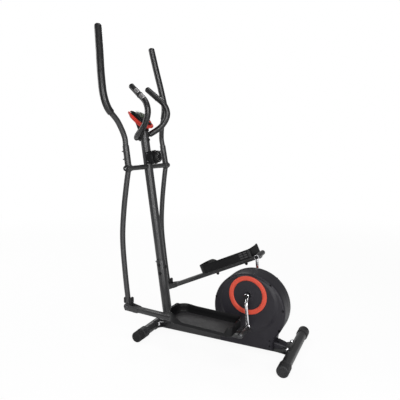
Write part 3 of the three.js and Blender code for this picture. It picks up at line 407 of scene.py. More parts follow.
class Finish:
    def __init__(self, name, world=None):
        self.owner = world or bpy.data.materials.new(name)
        self.owner.use_nodes = True
        self.tree = self.owner.node_tree
        self.tree.nodes.clear()

    def make(self, kind, settings=None, inputs=None, output=0):
        node = self.tree.nodes.new(kind)
        for key, value in (settings or {}).items():
            setattr(node, key, value)
        for key, value in (inputs or {}).items():
            if isinstance(value, Wire):
                self.tree.links.new(value.socket, node.inputs[key])
            else:
                node.inputs[key].default_value = value
        return Wire(self, node.outputs[output])

    def mixed(self, share, a, b):  # colours
        return self.make("ShaderNodeMix", {"data_type": "RGBA"}, {0: share, 6: a, 7: b}, output=2)

    def places(self, stretch=None):  # the piece's own coordinates, in metres
        spot = self.make("ShaderNodeTexCoord", output="Object")
        return spot * stretch if stretch else spot

    def noise(self, scale, detail=2, roughness=0.5, stretch=None):
        inputs = {"Vector": self.places(stretch), "Scale": scale, "Detail": detail, "Roughness": roughness}
        return self.make("ShaderNodeTexNoise", None, inputs)

    def cells(self, scale):
        return self.make("ShaderNodeTexVoronoi", None, {"Vector": self.places(), "Scale": scale})

    def bump(self, height, strength, distance, under=None):
        inputs = {"Height": height, "Strength": strength, "Distance": distance}
        if under:
            inputs["Normal"] = under
        return self.make("ShaderNodeBump", None, inputs)

    def surface(self, **values):
        inputs = {key.replace("_", " "): value for key, value in values.items()}
        return self.finish(self.make("ShaderNodeBsdfPrincipled", None, inputs))

    def finish(self, shader):
        target = "World" if isinstance(self.owner, bpy.types.World) else "Material"
        node = self.tree.nodes.new("ShaderNodeOutput" + target)
        self.tree.links.new(shader.socket, node.inputs["Surface"])
        return self.owner


def rgb(red, green, blue):
    return (red, green, blue, 1)


def scaled(colour, factor):
    return tuple(min(1, part * factor) for part in colour[:3]) + (1,)


powderCoat = {"colour": rgb(0.0215, 0.0217, 0.0226), "roughness": 0.23, "peel": 0.14}
grainPlastic = {"colour": rgb(0.0080, 0.0080, 0.0087), "roughness": 0.42, "grain": 0.22}
shellPlastic = {"colour": rgb(0.0138, 0.0128, 0.0166), "roughness": 0.40, "grain": 0.16}
closedFoam = {"colour": rgb(0.0070, 0.0070, 0.0076), "roughness": 0.22, "cell": 0.08}
orangeRed = {"colour": rgb(0.47, 0.058, 0.034), "roughness": 0.38, "grain": 0.1}
caseRed = {"colour": rgb(0.52, 0.034, 0.022), "roughness": 0.32, "grain": 0.08}


def paintedTube(name, colour, roughness, peel):
    f = Finish(name)
    broad = f.noise(9, 3)
    fine = f.noise(620, 2, 0.55)
    mottle = f.noise(150, 3, 0.6)
    speckle = f.noise(2600, 1)
    shade = f.mixed(broad, scaled(colour, 0.86), scaled(colour, 1.16))
    shade = f.mixed(speckle * 0.25, shade, scaled(colour, 1.5))
    dull = roughness + broad * 0.09 + fine * 0.07 + mottle * 0.08 - 0.04
    skin = f.bump(mottle, peel * 0.5, 0.0008)
    return f.surface(Base_Color=shade, Roughness=dull, Normal=f.bump(fine, peel, 0.0004, skin), IOR=1.48)


def mouldedPlastic(name, colour, roughness, grain, ior=1.32):
    f = Finish(name)
    broad = f.noise(14, 3)
    fine = f.noise(1500, 2, 0.6)
    rub = f.noise(70, 4, 0.7, (1, 1, 3))
    shade = f.mixed(broad, scaled(colour, 0.85), scaled(colour, 1.2))
    dull = roughness + fine * 0.1 + rub * 0.08 - 0.07
    return f.surface(Base_Color=shade, Roughness=dull, Normal=f.bump(fine, grain, 0.0003), IOR=ior)


def foamRubber(name, colour, roughness, cell):
    f = Finish(name)
    pores = f.cells(1150)
    soft = f.noise(260, 3, 0.6)
    broad = f.noise(20, 2)
    shade = f.mixed(broad * 0.6 + soft * 0.4, scaled(colour, 0.75), scaled(colour, 1.35))
    skin = f.bump(pores, cell, 0.0006)
    skin = f.bump(soft, cell * 0.5, 0.0006, skin)
    return f.surface(Base_Color=shade, Roughness=roughness + soft * 0.12, Normal=skin, IOR=1.5)


def plated(name, colour, roughness, scratch, stretch=None):
    f = Finish(name)
    lines = f.noise(240, 4, 0.65, stretch)
    smear = f.noise(30, 2)
    dull = roughness + lines * scratch + smear * 0.05
    shade = f.mixed(smear, scaled(colour, 0.92), colour)
    skin = f.bump(lines, scratch * 0.5, 0.0001)
    return f.surface(Base_Color=shade, Metallic=1.0, Roughness=dull, Normal=skin)


def castIron(name):
    f = Finish(name)
    grain = f.noise(420, 5, 0.65)
    broad = f.noise(24, 3)
    shade = f.mixed(broad, rgb(0.05, 0.05, 0.052), rgb(0.12, 0.115, 0.11))
    return f.surface(Base_Color=shade, Metallic=0.75, Roughness=0.42 + grain * 0.25,
                     Normal=f.bump(grain, 0.35, 0.0006))


def blackRubber(name):
    f = Finish(name)
    grain = f.noise(900, 3, 0.6)
    broad = f.noise(18, 3)
    shade = f.mixed(broad, rgb(0.011, 0.011, 0.012), rgb(0.022, 0.021, 0.021))
    skin = f.bump(grain, 0.3, 0.0003)
    return f.surface(Base_Color=shade, Roughness=0.62 + grain * 0.15, Normal=skin, IOR=1.25)


def displayGlass(name):
    f = Finish(name)
    haze = f.noise(40, 2)
    dots = f.cells(1400)
    shade = f.mixed(haze * 0.5 + dots * 0.5, rgb(0.045, 0.058, 0.042), rgb(0.075, 0.092, 0.063))
    return f.surface(Base_Color=shade, Roughness=0.30 + haze * 0.05, IOR=1.12)


paint = paintedTube("powderCoat", **powderCoat)
plastic = mouldedPlastic("grainedPlastic", **grainPlastic)
shellSkinPlastic = mouldedPlastic("shellPlastic", **shellPlastic)
foam = foamRubber("gripFoam", **closedFoam)
ringRed = mouldedPlastic("ringPlastic", **orangeRed)
redCase = mouldedPlastic("casePlastic", **caseRed)
chrome = plated("chromePlate", rgb(0.74, 0.74, 0.76), 0.15, 0.08, (1, 1, 0.06))
zinc = plated("zincPlate", rgb(0.62, 0.63, 0.65), 0.22, 0.16)
sensorMetal = plated("sensorPlate", rgb(0.40, 0.39, 0.395), 0.30, 0.1, (0.1, 1, 1))
iron = castIron("castIron")
rubber = blackRubber("blackRubber")
glass = displayGlass("displayGlass")
glossBlack = mouldedPlastic("glossBlack", rgb(0.005, 0.0055, 0.006), 0.24, 0.03, 1.24)
inkBlack = mouldedPlastic("displayInk", rgb(0.010, 0.012, 0.010), 0.3, 0.05)
markGrey = mouldedPlastic("printedMark", rgb(0.30, 0.30, 0.30), 0.5, 0.08)
capPlastic = mouldedPlastic("capPlastic", rgb(0.020, 0.020, 0.021), 0.5, 0.25)
darkPlastic = mouldedPlastic("darkPlastic", rgb(0.0045, 0.0045, 0.005), 0.38, 0.2, 1.28)
trayFloor = mouldedPlastic("trayFloor", rgb(0.0100, 0.0096, 0.0104), 0.5, 0.3)
# Lighter grey for the floor ribs and the heel pads; on the heel pads it is painted highlight, the rear light
# falling on the heel wall
trayRibGreyAndHeelHighlight = mouldedPlastic("trayRibGreyAndHeelHighlight", rgb(0.042, 0.041, 0.042), 0.42, 0.3)
screwBlack = mouldedPlastic("screwBlack", rgb(0.0015, 0.0015, 0.0018), 0.5, 0.2, 1.15)
darkSteel = plated("blackenedSteel", rgb(0.10, 0.10, 0.105), 0.34, 0.14)
print("finishes made")

# Floor frame: the beam, the two saddles, the post's sleeve and the drive's stay

beam = {"width": 0.044, "height": 0.050, "corner": 0.011, "rearEnd": 0.094, "frontEnd": 0.012}
beamTail = {"start": 0.095, "length": 0.078, "drop": 0.009, "spread": 0.010}
saddleShape = {"width": 0.116, "bore": 0.0238, "wall": 0.003, "halfTurn": 84}
flareShape = {"start": 0.022, "reach": 0.062, "thick": 0.003, "up": 0.013, "curve": 2.6}
sleeve = {"radius": 0.0251, "bore": 0.0233, "top": -0.506, "bottom": -0.842, "open": 0.01}
web = {"half": 0.004, "reach": 0.066, "top": -0.709, "rise": 0.006}
frameBead = {"radius": 0.0026, "stretch": 1.02}
driveStay = {"bore": 0.0172, "radius": 0.02, "half": 0.032}
beamTop = axisHeight + beam["height"] / 2
stabilizerEnds = (("front", frontX, -1), ("rear", rearX, 1))  # the last number says where the beam lies


def saddle(x, facing):
    inner, outer = saddleShape["bore"], saddleShape["bore"] + saddleShape["wall"]
    turn = 2 * saddleShape["halfTurn"]
    start = (0 if facing > 0 else 180) - saddleShape["halfTurn"]
    outline = arc((x, axisHeight), outer, start, turn, 28)
    outline += arc((x, axisHeight), inner, start + turn, -turn, 28)
    return prism(outline, -saddleShape["width"] / 2, saddleShape["width"] / 2)


def flarePlate(x, facing, z):  # spreads the beam's width out to the saddle's
    half, wide = beam["width"] / 2, saddleShape["width"] / 2 - 0.004
    side = []
    for i in range(13):
        t = i / 12
        reach = flareShape["start"] + flareShape["reach"] * (1 - t)
        side.append((x + facing * reach, half + (wide - half) * t ** flareShape["curve"]))
    outline = side + [(a, -b) for a, b in reversed(side)]
    return slab(outline, z - flareShape["thick"] / 2, z + flareShape["thick"] / 2)


def beamEnd(section):  # the beam bends down a little and widens to the rear saddle
    rows = []
    for i in range(13):
        t = i / 12
        drop = beamTail["drop"] * eased(t, 0, 1)
        wider = 1 + beamTail["spread"] * t ** 2.2 / (beam["width"] / 2)
        x = rearX + beamTail["start"] - beamTail["length"] * t
        rows.append([Vector((x, a * wider, axisHeight + b - drop * (1 if b > 0 else 0.25)))
                     for a, b in section])
    return skinOver(rows)


def webOutline():  # a curved plate in the corner between the beam and the sleeve
    foot, top = onPost(sleeve["bottom"]), onPost(web["top"])
    rear, low = foot.x - web["reach"], beamTop - 0.004
    tip = (top.x - 0.021, top.z)
    curve = curveTo((rear, beamTop + web["rise"]), (top.x - 0.029, beamTop + 0.010), tip, 9)
    return [(foot.x - 0.004, low), (rear, low)] + curve + [tip, (top.x, top.z)]


def buildFloorFrame():
    section = roundedRect(beam["width"], beam["height"], beam["corner"], 8)
    ends = (rearX + beam["rearEnd"], frontX - beam["frontEnd"])
    run = sweep([Vector((x, 0, axisHeight)) for x in ends], section)
    shapes = [run, beamEnd(section), lathe(openTube(sleeve, 0.0012), onPost(sleeve["bottom"]), postUp, 64)]
    shapes += [saddle(x, facing) for _, x, facing in stabilizerEnds]
    addPiece("floor_frame", shapes, paint, "frame", "tube_paint", ["main_frame"], bevel=0.0008, segments=2)
    webs = [prism(webOutline(), -web["half"], web["half"])]
    for _, x, facing in stabilizerEnds:
        webs += [flarePlate(x, facing, axisHeight + up) for up in (flareShape["up"], -flareShape["up"])]
    addPiece("frame_webs", webs, paint, "frame", "tube_paint", bevel=0.001, segments=2)
    meet = onPost(sleeve["bottom"] + 0.012)
    seam = ringPath((meet.x - 0.002, 0, beamTop + 0.0005), upward, sleeve["radius"] + 0.0008, 96,
                    frameBead["stretch"])
    addPiece("frame_welds", [weldRing(seam, frameBead["radius"])], paint, "frame", "tube_paint")
    stay = [(crankAxis.x - 0.118, axisHeight), (crankAxis.x - 0.066, axisHeight),
            (crankAxis.x + 0.012, crankAxis.z), (crankAxis.x - 0.016, crankAxis.z + 0.006)]
    bore, radius, half = driveStay["bore"], driveStay["radius"], driveStay["half"]
    profile = [(bore, -half), (radius, -half), (radius, half), (bore, half), (bore, -half)]
    hub = lathe(profile, crankAxis, count=40)
    addPiece("drive_stay", [prism(stay, -0.012, 0.008), hub], paint, "frame", "tube_paint", bevel=0.0015)


saddleNuts = {"out": 0.045, "radius": 0.0082, "height": 0.0095, "tilt": {"front": 12, "rear": 38}}


def buildFrameFasteners():
    domes = []
    for which, x, facing in stabilizerEnds:
        angle = math.radians(saddleNuts["tilt"][which])
        direction = Vector((facing * math.cos(angle), 0, math.sin(angle)))
        for out in (-saddleNuts["out"], saddleNuts["out"]):
            seat = Vector((x, out, axisHeight)) + direction * (saddleShape["bore"] + saddleShape["wall"])
            domes.append(domeHead(seat, direction, saddleNuts["radius"], saddleNuts["height"]))
    seated = sleeve["radius"] - 0.0006
    bolts = [hexHead(onPost(up, 0, side * seated), (0, side, 0))
             for up, side in ((-0.53, -1), (-0.53, 1), (-0.575, 1))]
    bolts.append(hexHead(onPost(-0.545, -seated), -postForward))
    spot = Vector((crossbarMiddle.x - 0.109, beam["width"] / 2 - 0.0004, axisHeight + 0.012))
    flatHead = [(0, 0), (0.0058, 0), (0.0058, 0.0016), (0.0044, 0.0026), (0, 0.0026)]
    bolts.append(lathe(flatHead, spot, count=24))
    aside = (0.94, 0.34)
    knob = onPost(-0.512, sleeve["radius"] * aside[0], sleeve["radius"] * aside[1])
    domes.append(domeHead(knob, aside + (0,), 0.0056, 0.0068))
    addPiece("dome_nuts", domes, chrome, "frame", "steel")
    addPiece("frame_bolts", bolts, plastic, "frame", "steel")


# Stabilizers, their caps and the rollers

stabilizerTube = {"radius": 0.0235, "bore": 0.0215}
endCap = {"round": 0.006, "ridge": 0.0011, "socket": 0.0236, "overlap": 0.004, "bareEnd": 0.0098}
capGrooves = {"count": 3, "first": 0.006, "pitch": 0.0045, "depth": 0.0009, "side": 0.0008, "width": 0.0024}
treadGrooves = {"count": 4, "first": 0.007, "pitch": 0.0062, "depth": 0.0012, "side": 0.0007, "width": 0.0026}
rollerRecess = {"radius": 0.0106, "depth": 0.008}


def buildStabilizers():
    r, bore = stabilizerTube["radius"], stabilizerTube["bore"]
    for which, x, _ in stabilizerEnds:
        low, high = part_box(which + "_stabilizer")
        profile = [(0, low.y), (bore, low.y), (r, low.y), (r, high.y), (bore, high.y), (0, high.y)]
        addPiece(which + "_tube", lathe(profile, (x, 0, axisHeight), count=72), paint, "frame", "tube_paint",
                 [which + "_stabilizer"])


def cutAtFloor(shape):  # the flat foot of a cap
    mesh = bmesh.new()
    points = [mesh.verts.new(p) for p in shape[0]]
    for face in shape[1]:
        mesh.faces.new([points[i] for i in face])
    everything = mesh.verts[:] + mesh.edges[:] + mesh.faces[:]
    cut = bmesh.ops.bisect_plane(mesh, geom=everything, plane_co=(0, 0, 0), plane_no=(0, 0, -1),
                                 clear_outer=True)
    edges = [part for part in cut["geom_cut"] if isinstance(part, bmesh.types.BMEdge)]
    bmesh.ops.holes_fill(mesh, edges=edges)
    mesh.verts.ensure_lookup_table()
    mesh.verts.index_update()
    result = [v.co.copy() for v in mesh.verts], [tuple(v.index for v in f.verts) for f in mesh.faces]
    mesh.free()
    return result


def grooves(radius, start, shape):
    profile = []
    for k in range(shape["count"]):
        at = start + shape["first"] + k * shape["pitch"]
        floor = radius - shape["depth"]
        profile += [(radius, at), (floor, at + shape["side"]), (floor, at + shape["width"] - shape["side"]),
                    (radius, at + shape["width"])]
    return profile


def endFace(r, to):  # a dished end with two fine rings
    edge = endCap["round"]
    rim = arc((r - edge, to - edge), edge, 0, 90, 6)
    dish = to - endCap["ridge"]
    return rim + [(r - 0.0085, to), (r - 0.0095, dish), (r * 0.52, dish), (r * 0.5, to - 0.0002),
                  (r * 0.44, to - 0.0002), (r * 0.42, dish), (0.0001, dish), (0, dish)]


def buildCaps():
    socket, bare = endCap["socket"], endCap["bareEnd"]
    for hand, side in hands.items():
        for which, x, _ in stabilizerEnds:
            node = f"{which}_cap_{hand}"
            radius = radiusOf(node)
            start, end = reachOf(node)
            if which == "front":
                end = reachOf("transport_roller_" + hand)[0] - 0.0004
                tail = [(radius, end - 0.002), (radius - 0.002, end), (bare, end), (bare, end + 0.02),
                        (0, end + 0.02)]
            else:
                tail = endFace(radius, end)
            inside = start + endCap["overlap"]
            profile = [(0, inside), (socket, inside), (socket, start), (radius - 0.0018, start),
                       (radius, start + 0.0018)]
            profile += grooves(radius, start, capGrooves) + tail
            shape = cutAtFloor(lathe(profile, (x, 0, axisHeight), count=72))
            addPiece(f"{which}_end_cap_{hand}", mirrored(shape, side), capPlastic, "frame", "black_plastic",
                     [node])


def buildRollers():
    for hand, side in hands.items():
        node = "transport_roller_" + hand
        radius = radiusOf(node)
        start, end = reachOf(node)
        bottom = end - rollerRecess["depth"]
        profile = [(0, bottom), (rollerRecess["radius"], bottom), (rollerRecess["radius"], start),
                   (radius - 0.003, start), (radius, start + 0.003)]
        profile += grooves(radius, start, treadGrooves) + endFace(radius, end)
        wheel = lathe(profile, (frontX, 0, axisHeight), count=72)
        addPiece("roller_" + hand, mirrored(wheel, side), rubber, hand + "_roller", "rubber", [node])


buildFloorFrame()
buildFrameFasteners()
buildStabilizers()
buildCaps()
buildRollers()
print("floor frame made")

# Post, crossbar and their welds

post = {"radius": 0.0230, "bore": 0.0207, "open": 0.012, "top": 0.186, "bottom": -0.626}
crossbar = {"radius": 0.0130, "bead": 0.0019, "stretch": 1.06}
crossbarEnd = {"plug": 0.0109, "insert": 0.012, "bolt": 0.0046}


def crossbarSeam(side):  # where the crossbar's skin meets the post's
    seam = []
    for forward, up in circle(crossbar["radius"], 72):
        out = math.sqrt(post["radius"] ** 2 - forward ** 2) + 0.0008
        seam.append(onPost(up, forward * crossbar["stretch"], side * out))
    return seam


def buildPost():
    low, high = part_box("upright_post")
    barProfile = [(0, low.y), (crossbar["radius"], low.y), (crossbar["radius"], high.y), (0, high.y)]
    tubes = [lathe(openTube(post, 0.0008), onPost(post["bottom"]), postUp, 64),
             lathe(barProfile, crossbarMiddle)]
    addPiece("post_tube", tubes, paint, "frame", "tube_paint", ["upright_post"])
    beads = [weldRing(crossbarSeam(side), crossbar["bead"]) for side in (-1, 1)]
    addPiece("crossbar_welds", beads, paint, "frame", "tube_paint")
    behind = 0.0005 - post["radius"]
    bolts = [hexHead(onPost(0.14, behind), -postForward),
             domeHead(onPost(0.165, behind), -postForward, 0.0062, 0.005),
             domeHead(onPost(-0.4985, 0.002, post["radius"] - 0.0006), leftward, 0.0056, 0.0042)]
    addPiece("post_bolts", bolts, plastic, "frame", "steel")
    plug, start = crossbarEnd["plug"], high.y
    for hand, side in hands.items():
        end = reachOf("crossbar_cap_" + hand)[1]
        cap = lathe([(0, start - crossbarEnd["insert"]), (plug, start - crossbarEnd["insert"]), (plug, start),
                     (0.013, start), (0.013, end - 0.0018), (0.0118, end - 0.0004), (0.0098, end),
                     (0.0064, end - 0.0005), (0.0058, end - 0.0009), (0, end - 0.0006)], crossbarMiddle)
        addPiece("crossbar_end_" + hand, mirrored(cap, side), plastic, "frame", "black_plastic",
                 ["crossbar_cap_" + hand])
        bolt = domeHead(crossbarMiddle + leftward * (end - 0.0016), leftward, crossbarEnd["bolt"], 0.0016)
        addPiece("crossbar_bolt_" + hand, mirrored(bolt, side), zinc, "frame", "steel")


# Levers, their handles and the foam on them; forward, out and up from the lever's pivot

leverShape = {"foot": (0.006, 0, -0.711), "radius": 0.0136,
              "bends": [(0.027, 0, -0.533), (0.040, 0, -0.355), (0.031, 0, -0.213), (0.014, 0, -0.085),
                        (0, 0, 0)]}
handleShape = {"slope": 0.147, "straight": (0.024, 0.066, 0.112, 0.150), "gripStart": 0.290,
               "gripRadius": 0.0181, "bends": [(0.036, 0.034, 0.224), (0.052, 0.088, 0.285),
                                               (0.060, 0.108, 0.340), (0.074, 0.105, 0.421),
                                               (0.098, 0.086, 0.564), (0.115, 0.073, 0.669)]}
leverHub = {"bore": 0.0131, "radius": 0.016, "half": 0.02}
leverSocket = {"radius": 0.0160, "bore": 0.0138, "top": 0.112, "bottom": 0, "open": 0.012,
               "studs": (0.044, 0.083)}
footBush = {"bore": 0.0052, "radius": 0.013, "half": 0.014}
footEars = {"front": 0.023, "rear": 0.024, "inner": 0.0085, "low": 0.015, "high": 0.048, "half": 0.0128,
            "corner": 0.00713}


def earLobe(start, end):  # a rounded plastic lump on one side of the tube's foot
    low, high = footEars["low"], footEars["high"]
    outline = roundedRect(abs(end - start), high - low, footEars["corner"], 8)
    lump = prism(moved(outline, (start + end) / 2, (low + high) / 2), -footEars["half"], footEars["half"])
    return placed(lump, Matrix.Translation(leverShape["foot"]))


def leverTurnings(slope):  # the hub on the crossbar, the socket for the handle and the bush at the foot
    socket = lathe(openTube(leverSocket, 0.0012, 0.0015), (0, 0, 0), slope)
    hub = turnedRing(leverHub["bore"], leverHub["radius"], -leverHub["half"], leverHub["half"], 0.0008)
    bush = turnedRing(footBush["bore"], footBush["radius"], -footBush["half"], footBush["half"], 0.0008)
    return [lathe(hub, (0, 0, 0)), socket, lathe(bush, leverShape["foot"], count=40)]


def buildLevers():
    slope = Vector((handleShape["slope"], 0, 1)).normalized()
    path = smoothPath([leverShape["foot"]] + leverShape["bends"], 72)
    tubes = [sweep(path, circle(leverShape["radius"], 40))] + leverTurnings(slope)
    bothHands("lever_tube", tubes, paint, "*_lever", "tube_paint", ["lever_*"], leverFrame)
    tubeAxis = -Vector(leverShape["bends"][3]).normalized()
    foot = Vector(leverShape["foot"])
    beads = [weldRing(ringPath(slope * 0.0155, slope, 0.0152), 0.0016),
             weldRing(ringPath(tubeAxis * -0.0155, tubeAxis, 0.013), 0.0016),
             weldRing(ringPath(foot + Vector((0.0015, 0, 0.0125)), (0.1, 0, 1), 0.0122, 60), 0.0015)]
    bothHands("lever_welds", beads, paint, "*_lever", "tube_paint", [], leverFrame)
    lobes = [earLobe(footEars["inner"], footEars["front"]), earLobe(-footEars["inner"], -footEars["rear"])]
    bothHands("lever_ears", lobes, plastic, "*_lever", "black_plastic", [], leverFrame, bevel=0.0042,
              segments=4)
    studs, ahead = [], (1, 0, -handleShape["slope"])
    for up in leverSocket["studs"]:
        seat = slope * up + Vector((leverSocket["radius"] - 0.0004, 0, 0))
        thread = [(0, 0), (0.0024, 0), (0.0024, 0.0108), (0.0019, 0.0114), (0, 0.0114)]
        studs += [hexHead(seat, ahead, 0.009, 0.0045), lathe(thread, seat, ahead, 20)]
    bothHands("lever_studs", studs, plastic, "*_lever", "steel", [], leverFrame)


foamSkin = {"steps": 150, "around": 56, "lead": 0.0030, "dome": 0.72, "level": 0.978, "dents": 0.026,
            "coarse": 34, "fine": 110, "fineShare": 0.22}


def foamSleeve(path, start, radius, tip, seed):  # soft foam over a bent tube, closed and round at the tip
    lengths = measured(path)
    total, steps, lead = lengths[-1] + tip, foamSkin["steps"], foamSkin["lead"]
    dome = radius * foamSkin["dome"]
    stops = [(start, 0.72), (start + 0.0004, 0.86), (start + 0.0012, 0.955), (start + lead, 1)]
    stops += [(start + lead + (total - dome - start - lead) * i / steps, 1) for i in range(1, steps)]
    for i in range(13):
        angle = math.pi / 2 * i / 12
        stops.append((total - dome * (1 - math.sin(angle)), max(0.06, math.cos(angle) ** 0.8)))
    centres = [pointAt(path, lengths, distance) for distance, _ in stops]
    count = foamSkin["around"]
    points, faces = sweep(centres, circle(radius, count), size=[scale for _, scale in stops])
    for ring, centre in enumerate(centres):
        for k in range(ring * count, (ring + 1) * count):
            p = points[k]
            dent = noise.noise(p * foamSkin["coarse"] + Vector((seed, 0, 0))) * 0.5
            dent += noise.noise(p * foamSkin["fine"]) * foamSkin["fineShare"]
            points[k] = centre + (p - centre) * (foamSkin["level"] + foamSkin["dents"] * dent)
    return points, faces


def buildHandles():
    straight = [(up * handleShape["slope"], 0, up) for up in handleShape["straight"]]
    path = smoothPath(straight + handleShape["bends"], 220)
    tube = sweep(path, circle(leverShape["radius"], 40))
    bothHands("handle_tube", [tube], paint, "*_lever", "tube_paint", ["handle_*"], leverFrame)
    start = handleShape["gripStart"] - handleShape["straight"][0]
    grip = foamSleeve(path, start, handleShape["gripRadius"], 0.0065, 3)
    for piece in bothHands("handle_foam", [grip], foam, "*_lever", "foam", ["handle_grip_*"], leverFrame):
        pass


# Fixed handlebar, its foam and pulse plates, and the clamp that holds it; the neck is counted from the
# clamp, and the bends forward from the crossbar, out and up from the floor

handlebarShape = {"up": 0.160, "forward": 0.034, "radius": 0.0108, "gripRadius": 0.0158, "bare": 0.070,
                  "neck": [(-0.004, 0.034, 0.001), (-0.040, 0.058, 0.022)],
                  "bends": [(-0.03918, 0.086, 1.100), (-0.06318, 0.096, 1.155), (-0.04818, 0.092, 1.205),
                            (-0.00118, 0.082, 1.248), (0.04682, 0.0733, 1.2895)]}
pulsePlates = {"places": {"lower": 0.760, "upper": 0.871}, "length": 0.0335, "spread": 38, "proud": 0.0010,
               "thick": 0.0022, "facing": (-0.50, 0.82, 0.30), "along": 22, "around": 28}
pulseBand = {"half": 0.0022, "rim": 0.93}
clampShape = {"half": 0.019, "below": 0.015, "above": 0.025, "wall": 0.007, "corner": 0.0145}


def barPath():
    middle = onPost(handlebarShape["up"], handlebarShape["forward"])
    left = [middle + Vector(place) for place in handlebarShape["neck"]]
    left += [Vector((crossbarMiddle.x + x, y, z)) for x, y, z in handlebarShape["bends"]]
    right = [Vector((p.x, -p.y, p.z)) for p in reversed(left)]
    return smoothPath(right + [middle] + left, 480)


def pulseGap(path, lengths, middle, radius):  # the band between the two plates
    half, rim = pulseBand["half"], pulseBand["rim"]
    ring = [(-half, rim), (-half * 0.75, 1), (0, 1), (half * 0.75, 1), (half, rim)]
    centres = [pointAt(path, lengths, middle + shift) for shift, _ in ring]
    return sweep(centres, circle(radius, 48), size=[scale for _, scale in ring])


def buildHandlebar():
    path = barPath()
    tube = sweep(path, circle(handlebarShape["radius"], 36))
    addPiece("handlebar_tube", tube, paint, "frame", "tube_paint", ["handlebar"])
    half = path[len(path) // 2:]
    lengths = measured(half)
    grip = foamSleeve(half, handlebarShape["bare"], handlebarShape["gripRadius"], 0.0095, 11)
    radius = handlebarShape["gripRadius"] + pulsePlates["proud"]
    places = {level: lengths[-1] * share for level, share in pulsePlates["places"].items()}
    for hand, side in hands.items():
        piece = addPiece("handlebar_foam_" + hand, mirrored(grip, side), foam, "frame", "foam",
                         ["handlebar_grip_" + hand])
        for level, place in places.items():
            plate = curvedPlate(half, lengths, place, radius)
            addPiece(f"pulse_plate_{level}_{hand}", mirrored(plate, side), sensorMetal, "frame", "steel",
                     [f"pulse_sensor_{level}_{hand}"])
        band = pulseGap(half, lengths, sum(places.values()) / 2, radius)
        addPiece("pulse_band_" + hand, mirrored(band, side), rubber, "frame", "black_plastic")


def curvedPlate(path, lengths, middle, radius):  # wraps part of the way round the foam, with rounded ends
    goal = Vector(pulsePlates["facing"])
    along, around = pulsePlates["along"], pulsePlates["around"]
    outer, inner = [], []
    for i in range(along + 1):
        v = -1 + 2 * i / along
        at = middle + v * pulsePlates["length"] / 2
        centre = pointAt(path, lengths, at)
        tangent = (pointAt(path, lengths, at + 0.003) - pointAt(path, lengths, at - 0.003)).normalized()
        front = (goal - tangent * goal.dot(tangent)).normalized()
        across = tangent.cross(front)
        narrow = math.sqrt(max(0.0, 1 - abs(v) ** 5)) * 0.92 + 0.04
        for k in range(around + 1):
            w = -1 + 2 * k / around
            angle = math.radians(pulsePlates["spread"]) * w * narrow
            edge = max(abs(v), abs(w)) ** 14
            direction = front * math.cos(angle) + across * math.sin(angle)
            outer.append(centre + direction * (radius - 0.0009 * edge))
            inner.append(centre + direction * (radius - pulsePlates["thick"]))
    faces, row, under = [], around + 1, len(outer)
    for i in range(along):
        for k in range(around):
            a = i * row + k
            faces.append((a, a + 1, a + row + 1, a + row))
            faces.append((under + a + row, under + a + row + 1, under + a + 1, under + a))
    sides = [(i * row + k, row) for i in range(along) for k in (0, around)]
    ends = [(i * row + k, 1) for k in range(around) for i in (0, along)]
    faces += [(a, a + step, under + a + step, under + a) for a, step in sides + ends]
    return outer + inner, faces


def buildClamp():
    front = handlebarShape["forward"] + handlebarShape["radius"] + clampShape["wall"]
    tall = clampShape["below"] + clampShape["above"]
    rise = handlebarShape["up"] + (clampShape["above"] - clampShape["below"]) / 2
    outline = moved(roundedRect(front - 0.008, tall, clampShape["corner"], 10), front / 2 + 0.004, rise)
    body = onPostShape(prism(outline, -clampShape["half"], clampShape["half"]))
    addPiece("bar_clamp", body, plastic, "frame", "black_plastic", ["handlebar_clamp"], bevel=0.004,
             segments=4)
    joint = onPost(handlebarShape["up"], handlebarShape["forward"] + 0.004)
    profile = [(0, 0), (0.0165, 0), (0.0165, 0.0016), (0.0152, 0.0028), (0.0124, 0.0028), (0.0116, 0.0019),
               (0, 0.0019)]
    bosses = [lathe(profile, joint + leftward * side * (clampShape["half"] - 0.0006), leftward * side)
              for side in (-1, 1)]
    addPiece("clamp_bosses", bosses, plastic, "frame", "black_plastic")
    under = hexHead(onPost(rise - tall / 2 + 0.0006, front * 0.55), -postUp, height=0.006)
    addPiece("clamp_bolt", under, darkSteel, "frame", "steel")


# Console: a red slab with a black domed top, a screen and three buttons; x runs up its slope, z out of it

consoleShape = {"slope": 34, "length": 0.142, "width": 0.120, "shift": 0.003, "square": 0.60, "depth": 0.026,
                "rim": 0.012, "rise": 0.007, "thinEnd": 0.85}
coverShape = {"height": 0.012, "length": 0.88, "shift": 0.003, "crown": 0.0060, "lowEnd": 0.42, "fall": 0.45}
screenShape = {"middle": 0.018, "long": 0.052, "wide": 0.066, "corner": 0.005, "taper": 7.5}
clockShape = {"digits": ((0, 0.021), (1, 0.0125), (3, -0.0005), (5, -0.009)), "tall": 0.014, "wide": 0.0065,
              "colon": 0.0058, "bar": 0.0011}
buttonShape = {"row": -0.038, "pitch": 0.026, "radius": 0.0065, "proud": 0.0048, "collar": 0.0086}
neckShape = {"half": 0.0238, "top": 0.034, "under": 0.0142}


def consoleFrame():
    slope = math.radians(consoleShape["slope"])
    up = Vector((math.cos(slope), 0, math.sin(slope)))
    normal = Vector((-math.sin(slope), 0, math.cos(slope)))
    origin = middleOf("console_screen") - up * screenShape["middle"] - normal * (coverShape["height"] - 0.001)
    return Matrix.Translation(origin) @ Matrix((up, leftward, normal)).transposed().to_4x4()


def consoleOutline(inset, count=96):  # a rounded shield, narrower at its upper end
    length, width = consoleShape["length"] / 2 - inset, consoleShape["width"] / 2 - inset
    outline = []
    for c, d in circle(1, count):
        along, across = signedPower(c, consoleShape["square"]), signedPower(d, consoleShape["square"])
        outline.append((length * along + consoleShape["shift"], width * (0.96 - 0.06 * along) * across))
    return outline


